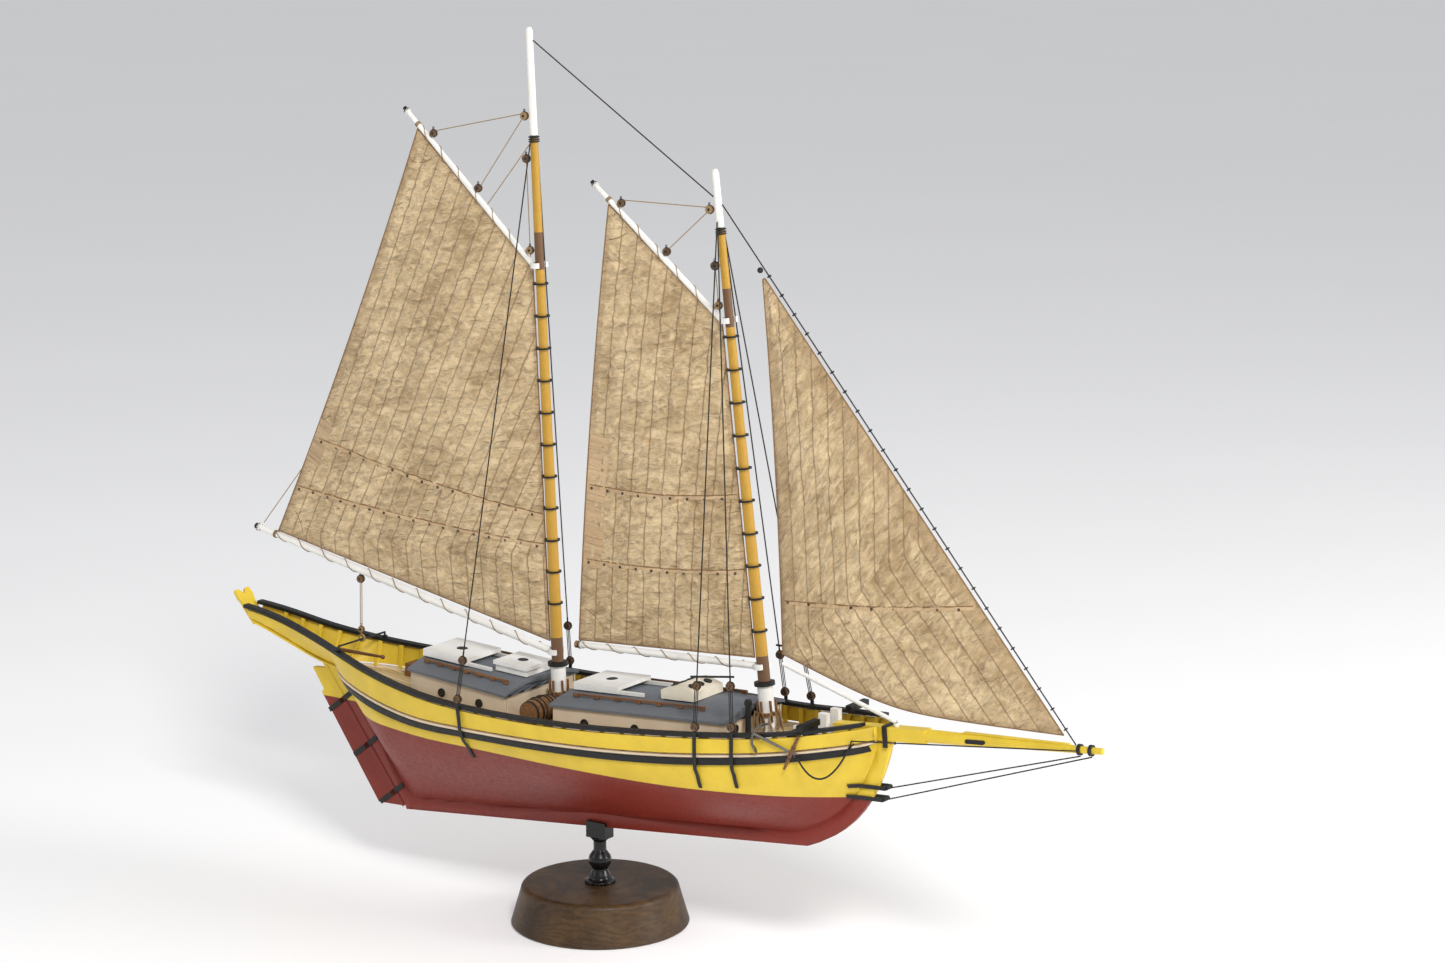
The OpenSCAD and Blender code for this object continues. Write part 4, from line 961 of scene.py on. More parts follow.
    def strip(self, name: str, path: Sequence[Flat], width: float, finish: object,
              lift: float = 0.5) -> bpy.types.Object:
        """A band of cloth sewn on both faces along a path."""
        stock, rings = Stock(), []
        for i, spot in enumerate(path):
            ahead, behind = path[min(i + 1, len(path) - 1)], path[max(i - 1, 0)]
            dx, dz = ahead[0] - behind[0], ahead[1] - behind[1]
            size = math.hypot(dx, dz) or 1.0
            nx, nz = -dz / size * width / 2, dx / size * width / 2
            edges = [self.on(spot[0] + nx * k, spot[1] + nz * k) for k in (1, 0.33, -0.33, -1)]
            out = Vector((0.0, lift * MM, 0.0))
            rings.append([e + out for e in edges] + [e - out for e in reversed(edges)])
        stock.loft(rings)
        for n, loop in enumerate(stock.loops):
            stock.loops[n] = (0.0075 + (loop[0] % 0.004) * 0.2, loop[1] * 2.0)
        thing = stock.piece(name, self.body, [finish], "sailcloth", 60.0)
        self.extras.append(thing)
        return thing

    def rope(self, name: str, path: Sequence[Flat], radius: float) -> None:
        """A bolt rope sewn along a path on the cloth."""
        stock = Stock()
        stock.tube([self.on(*spot) for spot in path], radius * MM, 8)
        self.extras.append(stock.piece(name, self.body, [BOLT_ROPE], "cord"))

    def edges(self) -> None:
        """Sews the bolt ropes round the sail."""
        steps = [k / 60 for k in range(61)]
        for line in (self.leech, self.luff, self.foot, self.head):
            label = line.__name__
            radius = 0.62 if label == "leech" else 0.5
            self.rope(f"{self.name}_{label}_rope", [line(t) for t in steps], radius)

    def reef_bands(self) -> None:
        """Sews each reef band with a stitched line and an eyelet at every seam."""
        for n, (aft, fore) in enumerate(self.bands, 1):
            path = [(between(aft, fore, t)[0], between(aft, fore, t)[1] - 3.0 * math.sin(math.pi * t))
                    for t in (k / 40 for k in range(41))]
            path = [p for p in path if 0.004 < self.find(*p)[0] < 0.996]
            self.strip(f"{self.name}_reef_band_{n}", path, 2.6, PATCH)
            self.rope(f"{self.name}_reef_line_{n}", [(x, z + 1.6) for x, z in path], 0.62)
            stock, count = Stock(), int((path[-1][0] - path[0][0]) / self.pitch)
            for k in range(count + 1):
                x = path[0][0] + 2.0 + k * self.pitch
                t = (x - path[0][0]) / (path[-1][0] - path[0][0])
                if t > 1:
                    continue
                z = path[min(int(t * (len(path) - 1)), len(path) - 1)][1] - 1.0
                for side in (-0.7, 0.7):
                    stock.hoop(self.on(x, z, side), Vector((0.0, 1.0, 0.0)), 0.75 * MM, 0.34 * MM, 6, 0, 12)
            self.extras.append(stock.piece(f"{self.name}_reef_eyelets_{n}", self.body, [IRON], "black_iron"))

    def patches(self) -> None:
        """Sews the leech patch and the curved corner tablings."""
        low, high, width = self.patch
        if width:
            path = [(self.leech_x(z) + width / 2 + 1.5, z) for z in np.linspace(low, high, 26)]
            self.strip(f"{self.name}_leech_patch", path, width, PATCH, 0.42)
        for corner in self.arcs:
            cx, cz = self.corners[corner]
            ring = [(cx + 26 * math.cos(a), cz + 26 * math.sin(a)) for a in np.linspace(0, 2 * math.pi, 150)]
            inner = [self.spot(*self.find(*p)) for p in ring]
            kept = [p for p, q in zip(ring, inner) if math.dist(p, q) < 0.25
                    and all(0.02 < t < 0.98 for t in self.find(*p))]
            if len(kept) > 5:
                gap = max(range(len(kept)), key=lambda k: math.dist(kept[k], kept[k - 1]))
                self.rope(f"{self.name}_corner_{corner}_seam", kept[gap:] + kept[:gap], 0.42)

    def flat_size(self) -> tuple[float, float, float]:
        """The cloth's flat width, length and area in metres, before creasing."""
        rim = ([self.foot(k / 40) for k in range(41)] + [self.luff(k / 40) for k in range(41)]
               + [self.head(1 - k / 40) for k in range(41)] + [self.leech(1 - k / 40) for k in range(41)])
        xs, zs = [p[0] for p in rim], [p[1] for p in rim]
        area = abs(sum(a[0] * b[1] - b[0] * a[1] for a, b in zip(rim, rim[1:] + rim[:1]))) / 2
        return (max(xs) - min(xs)) * MM, (max(zs) - min(zs)) * MM, area * MM * MM

    def build(self, rests_on: Sequence[str]) -> None:
        """Builds every piece of the sail.

        Args:
            rests_on: not used.
        """
        thing = self.cloth()
        self.edges()
        self.reef_bands()
        self.patches()
        width, length, area = self.flat_size()
        LOG.info("%s: flat %.3f x %.3f m, %.4f square metres", self.name, width, length, area)


CANVAS = Canvas("sailcloth")
# The patch cloth gets the same painted crease shade and highlight, in its own colours.
PATCH = Canvas("patch_cloth", tone(204, 174, 134), tone(182, 150, 110), 1000.0)


def islands(node: str) -> list[tuple[list[int], Vector, Vector]]:
    """Finds the separate solids in a CAD node.

    Args:
        node: the node's name.

    Returns:
        For each, its face numbers, its box's middle and its box's size, in metres.
    """
    mesh = frame["nodes"][node].data
    keys: dict[tuple[int, int, int], int] = {}
    same = [keys.setdefault(tuple(round(c * 1e6) for c in v.co), len(keys)) for v in mesh.vertices]
    root = list(range(len(keys)))

    def top(k: int) -> int:
        """The lowest number joined to k."""
        while root[k] != k:
            root[k] = root[root[k]]
            k = root[k]
        return k

    for face in mesh.polygons:
        first = top(same[face.vertices[0]])
        for v in face.vertices[1:]:
            root[top(same[v])] = first
    groups: dict[int, list[int]] = {}
    for face in mesh.polygons:
        groups.setdefault(top(same[face.vertices[0]]), []).append(face.index)
    found = []
    for faces in groups.values():
        spots = np.array([mesh.vertices[v].co for f in faces for v in mesh.polygons[f].vertices])
        low, high = spots.min(0), spots.max(0)
        found.append((faces, Vector((low + high) / 2), Vector(high - low)))
    return found


def dress(node: str, finishes: Sequence[object], by_solid: Optional[Picker] = None,
          by_face: Optional[Picker] = None, edge: float = 0.28) -> None:
    """Gives a CAD node its finishes and softened edges.

    Args:
        node: the node's name.
        finishes: finishes by number.
        by_solid: picks a finish from a solid's middle and size, in millimetres.
        by_face: picks a finish from a face's middle and normal.
        edge: width of the softened edge in millimetres, or 0 for none.
    """
    thing = frame["nodes"][node]
    mesh = thing.data
    mesh.materials.clear()
    for finish in finishes:
        mesh.materials.append(STORE.get(finish))
    if "custom_normal" in mesh.attributes:
        mesh.attributes.remove(mesh.attributes["custom_normal"])
    mesh.polygons.foreach_set("use_smooth", [True] * len(mesh.polygons))
    marks = [0] * len(mesh.polygons)
    if by_solid is not None:
        for faces, middle, size in islands(node):
            for f in faces:
                marks[f] = by_solid(middle * 1000.0, size * 1000.0)
    if by_face is not None:
        for face in mesh.polygons:
            marks[face.index] = by_face(face.center * 1000.0, face.normal)
    mesh.polygons.foreach_set("material_index", marks)
    weld = thing.modifiers.new("weld", "WELD")
    weld.merge_threshold = 2e-6
    if edge:
        bevel = thing.modifiers.new("soft_edges", "BEVEL")
        bevel.width, bevel.segments = edge * MM, 2
        bevel.limit_method, bevel.angle_limit = "ANGLE", math.radians(40)
        bevel.use_clamp_overlap = True
    thing.modifiers.new("even_shading", "WEIGHTED_NORMAL").keep_sharp = True
    LOG.info("%s: %d faces, %d finishes", node, len(mesh.polygons), len(finishes))


@dataclass
class Stand:
    """The round wooden base and the turned post."""

    def build(self) -> None:
        """Dresses the base, post and saddle."""
        dress("stand_base", [STAND], edge=1.2)
        dress("stand_post", [POST], edge=0.0)
        dress("keel_saddle", [POST])


@dataclass
class Hull:
    """The hull, its rails, deck, rudder and fittings."""

    plain: dict[str, object] = field(default_factory=lambda: {
        "hull_block": HULL, "hull_backbone": HULL, "rudder_blade": HULL, "wale_strakes": BLACK,
        "covering_boards": CABIN, "deck_planking": DECK, "pink_floor": GOLD, "tailboard": GOLD,
        "bulwark_starboard": GOLD, "bulwark_port": GOLD, "rail_stanchions": GOLD,
        "cap_rail_starboard": BLACK, "cap_rail_port": BLACK, "rudder_straps": IRON,
        "rudder_gudgeons": IRON, "tiller": VARNISH, "sheet_horse": IRON, "cockpit_bench": VARNISH,
        "bowsprit": GOLD, "bowsprit_irons": IRON, "chainplates": IRON, "windlass_barrel": BLACK,
    })

    def build(self) -> None:
        """Dresses the hull's nodes."""
        for node, finish in self.plain.items():
            dress(node, [finish], edge=0.0 if node in ("hull_block", "hull_backbone") else 0.28)
        dress("windlass_bitts", [ENAMEL])
        self.sprit_fittings()

    @staticmethod
    def sprit_fittings() -> None:
        """Lays a batten along the bowsprit and a black cleat on each side."""
        batten, cleats = Stock(), Stock()
        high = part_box("bowsprit")[1]
        slope = math.radians(SPRIT_RISE)
        way = Vector((math.cos(slope), 0.0, math.sin(slope)))
        up = Vector((-way.z, 0.0, way.x))
        tip = Vector((high.x, 0.0, high.z)) - (up * SPRIT_TIP + way * 0.2) * MM

        def bar(stock: Stock, back: float, front: float, half: float, tall: float, side: float) -> None:
            """Adds one bar with chamfered ends; back and front run from the tip, in millimetres."""
            rings = []
            for run, full in ((back, 0.5), (back - 1.2, 1.0), (front + 1.2, 1.0), (front, 0.5)):
                low = min(SPRIT_HALF, SPRIT_TIP + (SPRIT_HALF - SPRIT_TIP) * run / SPRIT_TAPER) - 0.3
                top = low + tall * full
                base = tip - way * run * MM
                if side:
                    wide = half * full
                    faces = ((low, -wide), (top, -wide), (top, wide), (low, wide))
                    corners = [(side * y, z) for y, z in faces][::int(side)]
                else:
                    corners = [(-half, low), (half, low), (half, top), (-half, top)]
                rings.append([base + up * z * MM + Vector((0.0, y * MM, 0.0)) for y, z in corners])
            stock.loft(rings)

        bar(batten, 112.0, 26.0, 1.3, 1.2, 0.0)
        for side in (-1.0, 1.0):
            bar(cleats, 108.0, 92.0, 1.5, 1.6, side)
        cleats.piece("bowsprit_cleats", "hull", [IRON], "black_iron")
        batten.piece("bowsprit_batten", "hull", [GOLD], "yellow_paint")


@dataclass
class Anchor:
    """The catheads, the stocked anchor outside the rail, and its cable."""

    lift: float = 77.0
    crown: Point = (176.0, -50.5, 113.1)
    toe: float = 17.6
    dip: float = 23.0
    run: float = 34.0
    arm: float = 14.0
    cat_x: float = 212.0
    cat_half: float = 2.25
    cat_rings: tuple[Point, ...] = ((20.4, 1.9, 1.7), (20.9, 2.45, 2.2), (45.6, 2.45, 2.2), (46.2, 1.9, 1.7))
    cable_thick: float = 1.4
    route: tuple[Point, ...] = (
        (241.0, -21.2, 108.0), (238.9, -23.3, 102.5), (236.7, -24.9, 97.7), (234.6, -26.3, 93.6),
        (232.4, -27.7, 90.1), (230.3, -29.1, 87.3), (228.1, -30.4, 85.1), (226.0, -31.6, 83.6),
        (223.8, -32.9, 82.7), (221.7, -34.1, 82.5), (219.5, -35.2, 82.9), (217.4, -36.4, 84.0),
        (215.2, -37.5, 85.8), (213.1, -38.5, 88.2), (211.0, -39.5, 91.3), (208.8, -40.4, 95.0),
        (206.7, -40.7, 99.4))

    def cable(self) -> None:
        """Hangs the cable along its route, with a seizing at the ring and an eye at the hawse."""
        path = [Vector((x, y, z + self.lift)) * MM for x, y, z in self.route]
        stock = Stock()
        stock.tube(path, self.cable_thick / 2 * MM, 12)
        line = stock.piece("anchor_cable", "hull", [LAID_BLACK], "cord")
        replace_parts(line, "anchor_gear")
        eye, seizing = Stock(), Stock()
        way = (path[1] - path[0]).normalized()
        eye.hoop(path[0] + Vector((0.0, 1.2, 0.6)) * MM, Vector((1, 0, 0)), 2.0 * MM, 0.5 * MM, 8, 0, 24)
        for step in (0.4, 1.2, 2.0, 2.8):
            seizing.hoop(path[-1] + (path[-2] - path[-1]).normalized() * step * MM, path[-2] - path[-1],
                         self.cable_thick * 0.62 * MM, 0.3 * MM, 6, 0, 16)
            seizing.hoop(path[0] + way * step * MM, way, self.cable_thick * 0.62 * MM, 0.3 * MM, 6, 0, 16)
        extras = [eye.piece("hawse_eye", "hull", [IRON], "black_iron"),
                  seizing.piece("cable_seizings", "hull", [BLACK_ROPE], "cord")]

    def place(self, x: float, y: float = 0.0, z: float = 0.0) -> Vector:
        """A place in the anchor's own frame: X down the shank, Z up the stock."""
        dip, toe = math.radians(self.dip), math.radians(self.toe)
        out = x * math.cos(dip) + z * math.sin(dip)
        cx, cy, cz = self.crown
        return Vector((cx + out * math.cos(toe) - y * math.sin(toe),
                       cy + out * math.sin(toe) + y * math.cos(toe),
                       cz + self.lift + z * math.cos(dip) - x * math.sin(dip))) * MM

    def iron(self) -> None:
        """Forges the shank, the arms with their flukes, and fits the wooden stock and the ring."""
        body = Stock()
        steps = [k / 12 for k in range(13)]
        body.tube([self.place(self.run * t, 0.0, 0.0) for t in steps],
                  [(1.25 - 0.35 * t) * MM for t in steps], 12)
        reach = [math.radians(120 + 120 * k / 24) for k in range(25)]
        bow = [(self.arm + self.arm * math.cos(a), self.arm * math.sin(a)) for a in reach]
        body.tube([self.place(x, 0.0, z) for x, z in bow],
                  [(0.45 + 0.65 * math.sin(math.pi * k / 24)) * MM for k in range(25)], 12)
        for end, inner in ((bow[0], bow[5]), (bow[-1], bow[-6])):
            rings = []
            for t in (0.0, 0.35, 0.7, 1.0):
                x, z = between(end, inner, t)
                wide, deep = 2.6 * math.sin(math.pi * (0.12 + 0.78 * t)), 0.35
                near, far = 0.9 - deep, 0.9 + deep
                rings.append([self.place(x + dx, dy, z) for dx, dy in
                              ((near, -wide), (near, wide), (far, wide), (far, -wide))])
            body.loft(rings if end[1] < 0 else rings[::-1])
        body.hoop(self.place(self.run + 0.4, 0.0, 0.0), self.place(0.0, 1.0, 0.0) - self.place(0.0, 0.0, 0.0),
                  1.5 * MM, 0.35 * MM, 8, 0, 24)
        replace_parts(body.piece("anchor_iron", "hull", [STEEL], "black_iron"), "anchor_gear")
        stock, bands = Stock(), Stock()
        rise = [-14 + 28 * k / 14 for k in range(15)]
        stock.tube([self.place(self.run - 3, 0.0, z) for z in rise],
                   [(0.8 + 0.85 * (1 - abs(z) / 14) ** 0.6) * MM for z in rise], 16)
        for z in (-4.5, 4.5):
            rise_way = self.place(0.0, 0.0, 1.0) - self.place(0.0, 0.0, 0.0)
            bands.hoop(self.place(self.run - 3, 0.0, z), rise_way, 1.5 * MM, 0.28 * MM, 8, 0, 24)
        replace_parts(stock.piece("anchor_stock", "hull", [VARNISH], "black_iron"), "anchor_gear")
        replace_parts(bands.piece("anchor_stock_bands", "hull", [IRON], "black_iron"), "anchor_gear")

    def build(self) -> None:
        """Builds the cable first, then the anchor and its catheads."""
        self.cable()
        self.iron()
        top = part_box("anchor_gear")[1].z / MM
        for side, label in ((-1, "starboard"), (1, "port")):
            beam = Stock()
            beam.loft([[Vector((self.cat_x + dx, side * y, top - self.cat_half + dz)) * MM for dx, dz in
                        ((-w, -h), (w, -h), (w, h), (-w, h))][::side] for y, w, h in self.cat_rings])
            head = beam.piece(f"cathead_{label}", "hull", [BLACK], "black_iron")
            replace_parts(head, "anchor_gear")


@dataclass
class Cabins:
    """Both cabins with their roofs, hatches, skylight, ports and stove pipe."""

    glass_set: float = 0.35

    def build(self) -> None:
        """Dresses the cabins and glazes the ports."""
        dress("aft_cabin_sides", [CABIN])
        dress("fore_cabin_sides", [CABIN])
        dress("aft_cabin_roof", [SLATE])
        dress("fore_cabin_roof", [SLATE])
        for node in ("aft_roof_trim", "fore_roof_trim"):
            dress(node, [ENAMEL, VARNISH],
                  by_solid=lambda middle, size: 1 if size.x > 70 and abs(middle.y) > 24 else 0)
        for node in ("aft_slide_hatch", "fore_slide_hatch", "aft_lift_hatch"):
            self.hatch(node)
        dress("skylight", [IVORY, BLACK], by_solid=lambda middle, size: 0 if size.x > 12 else 1)
        dress("stove_pipe", [IRON])
        dress("porthole_rims", [IRON])
        self.glaze()

    def hatch(self, node: str) -> None:
        """Paints a hatch white and the disc in its lid black."""
        low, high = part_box(node)
        middle = (low + high) * 500.0

        def pick(spot: Vector, normal: Vector) -> int:
            """The disc's faces lie within its radius, near the top."""
            near = math.hypot(spot.x - middle.x, spot.y) < 4.6
            return 1 if near and spot.z > high.z * 1000.0 - 3.2 and normal.z > -0.5 else 0

        dress(node, [ENAMEL, BLACK], by_face=pick)

    def glaze(self) -> None:
        """Puts domed dark glass in every port rim."""
        stock = Stock()
        for _, middle, size in islands("porthole_rims"):
            facing = Vector((1.0, 0.0, 0.0))
            if size.x >= size.y:
                facing = Vector((0.0, math.copysign(1.0, middle.y), 0.0))
            radius = max(size.x, size.y) / 2 - 0.7 * MM
            stock.turned(middle - facing * 0.45 * MM, facing,
                         [(0.0, radius), (self.glass_set * MM, radius), (0.55 * MM, radius * 0.72),
                          (0.62 * MM, radius * 0.3), (0.63 * MM, 0.0)], 20)
        stock.piece("port_glass", "hull", [GLASS], "black_iron")


@dataclass
class Cask:
    """The water cask: bellied staves, hoops and its lashing, replacing the plain CAD cask."""

    staves: int = 18
    rings: int = 22
    skin: float = 0.985
    hoops: tuple[float, ...] = (-0.93, -0.52, 0.52, 0.93)
    hoop_half: float = 0.055
    lashings: tuple[float, ...] = (-0.24, 0.24)

    def build(self) -> None:
        """Builds the cask over its CAD node."""
        low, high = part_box("water_cask")
        middle, half = (low + high) / 2, (high.y - low.y) / 2
        widest = (high.x - low.x) / 2
        stock = Stock()
        rows, per = [], 6

        def bulge(t: float) -> float:
            """The staves' radius at t from -1 to 1 along the cask."""
            return widest * (1.0 - 0.16 * t * t) * self.skin

        for i in range(self.rings + 1):
            t = -1 + 2 * i / self.rings
            ring = []
            for k in range(self.staves * per):
                a = 2 * math.pi * k / (self.staves * per)
                groove = 0.965 if k % per == 0 else 1.0
                r = bulge(t) * groove
                ring.append(middle + Vector((math.cos(a) * r, t * half, math.sin(a) * r)))
            rows.append(ring)
        stock.loft(rows)
        cask = stock.piece("water_cask_staves", "hull", [STAVE], "cask_wood", 50.0)
        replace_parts(cask, "water_cask")
        trim = Stock()
        for t in self.hoops:
            low, high = t - self.hoop_half, t + self.hoop_half
            band = []
            for at, out in ((low, 0.0), (low, 0.5), (high, 0.5), (high, 0.0)):
                r = bulge(at) + out * MM
                band.append([middle + Vector((math.cos(a) * r, at * half, math.sin(a) * r))
                             for a in (2 * math.pi * k / 48 for k in range(49))])
            trim.sheet(band, [[(k * MM, j * MM) for k in range(49)] for j in range(4)])
        trim.hoop(middle + Vector((0.0, 0.0, bulge(0.0) + 0.3 * MM)), Vector((0, 0, 1)),
                  1.5 * MM, 0.4 * MM)
        trim.piece("water_cask_hoops", "hull", [IRON], "black_iron")
        rope = Stock()
        for y in self.lashings:
            r = bulge(y) + 0.35 * MM
            rope.hoop(middle + Vector((0.0, y * half, 0.0)), Vector((0, 1, 0)), r, 0.45 * MM, 8, 0, 48)
        rope.piece("water_cask_lashing", "hull", [LAID_BLACK], "cord")
        dress("cask_chocks", [GOLD])


class Side(Enum):
    """Which side of the boat."""

    STARBOARD = -1
    PORT = 1


@dataclass
class StandingRigging:
    """Masts with their feet, shrouds, deadeyes, stays and bow lines."""

    masthead: dict[str, tuple[float, float, float]] = field(default_factory=lambda: {
        "main": (446.0, 345.0, 374.0), "fore": (378.0, 306.0, 334.0)})

    def build(self) -> None:
        """Dresses the masts and rigs them."""
        leather, ochre = tone(104, 72, 42), tone(186, 142, 40)
        for label, (white, jaw_low, jaw_high) in self.masthead.items():
            axle = Axle.of(f"{label}_rig_swing")
            lean = math.atan2(-axle.up.x, axle.up.z)
            foot = (axle.origin.z * math.cos(lean) - axle.origin.x * math.sin(lean)) * 1000.0
            bands = ((0.0, leather), (62.0, ochre), (jaw_low, leather), (jaw_high, ochre),
                     (white - 2.0, tone(24, 24, 24)), (white, WHITE))
            mast = Banded(f"{label}_mast_paint", foot, lean, bands)
            dress(f"{label}_mast", [mast], edge=0.5)
            self.mast_foot(label, axle)
            self.masthead_eyes(label, axle, white)
        for node in ("shrouds", "stays", "bow_rigging"):
            dress(node, [BLACK_ROPE], edge=0.0)
        dress("deadeyes", [BLOCK], edge=0.4)
        self.lanyards()

    def mast_foot(self, label: str, axle: Axle) -> None:
        """Paints the white foot, its black ring and brown pins, and hangs rope coils on the pins."""
        def pick(middle: Vector, normal: Vector) -> int:
            """Ring at the top black, pins brown, the rest white."""
            local = middle * MM - axle.origin
            up = local.dot(axle.up) * 1000.0
            out = (local - axle.up * local.dot(axle.up)).length * 1000.0
            if up > 40.6:
                return 1
            return 2 if out > 5.95 and 13.5 < up < 33.0 else 0

        dress(f"{label}_mast_foot", [ENAMEL, BLACK, VARNISH], by_face=pick)
        stock = Stock()
        for k in range(6):
            a = math.radians(60 * k + 30)
            pin = (7.0 * math.cos(a), 7.0 * math.sin(a))
            out = (math.cos(a), math.sin(a))
            for turn in range(4):
                drop, wide = 13.0 + 1.3 * turn, 2.2 + 0.35 * turn
                path = []
                for s in range(26):
                    b = 2 * math.pi * s / 26
                    side = wide * math.sin(b) * (1.0 + 0.3 * math.sin(b / 2))
                    fall = 22.5 - drop * (1 - math.cos(b)) / 2
                    reach = 1.5 + 0.5 * turn * math.sin(b / 2) + 0.5
                    path.append(axle.at(pin[0] + out[0] * reach - out[1] * side,
                                        pin[1] + out[1] * reach + out[0] * side, fall))
                stock.tube(path, 0.32 * MM, 6, True)
            stock.hoop(axle.at(pin[0] + out[0] * 0.9, pin[1] + out[1] * 0.9, 20.5),
                       Vector((out[0], out[1], 0.0)), 1.5 * MM, 0.4 * MM, 6, 0, 14)
        stock.piece(f"{label}_rope_coils", "hull", [LAID_TAN], "cord")

    def masthead_eyes(self, label: str, axle: Axle, height: float) -> None:
        """Seizes the shroud and stay eyes round the masthead."""
        stock = Stock()
        for k, z in enumerate((height - 3.0, height - 1.4, height + 0.4)):
            stock.hoop(axle.at(0.0, 0.0, z), axle.up, (3.65 if label == "fore" else 3.75) * MM,
                       0.55 * MM, 8, 0, 30)
        stock.piece(f"{label}_masthead_eyes", "hull", [LAID_BLACK], "cord")

    def lanyards(self) -> None:
        """Reeves three lanyards and a strop for each pair of deadeyes."""
        eyes = sorted((m for _, m, _ in islands("deadeyes")), key=lambda m: (m.y > 0, round(m.z > 0.2), m.x))
        lines, strops, holes = Stock(), Stock(), Stock()
        for side in Side:
            mine = [m for m in eyes if m.y * side.value > 0]
            low = sorted((m for m in mine if m.z < 0.2), key=lambda m: m.x)
            high = sorted((m for m in mine if m.z > 0.2), key=lambda m: m.x)
            for a, b in zip(low, high):
                way = (b - a).normalized()
                for shift in (-1.45, 0.0, 1.45):
                    start, end = a + Vector((shift * MM, 0, 0)), b + Vector((shift * MM, 0, 0))
                    lines.tube([start + way * 1.0 * MM, end - way * 1.0 * MM], 0.3 * MM, 6)
                for eye, up in ((a, -1), (b, 1)):
                    strops.hoop(eye, Vector((0, 1, 0)), 3.15 * MM, 0.5 * MM, 8)
                    strops.tube([eye + way * up * 3.0 * MM, eye + way * up * 7.0 * MM], 0.65 * MM, 8)
                    for shift, rise in ((-1.3, 0.6), (1.3, 0.6), (0.0, -1.2)):
                        for face in (-1.9, 1.9):
                            holes.hoop(eye + Vector((shift, face, rise * up)) * MM, Vector((0, 1, 0)),
                                       0.5 * MM, 0.2 * MM, 6, 0, 10)
        lines.piece("deadeye_lanyards", "hull", [LAID_TAN], "cord")
        strops.piece("deadeye_strops", "hull", [LAID_BLACK], "black_iron")
        holes.piece("deadeye_holes", "hull", [IRON], "black_iron")


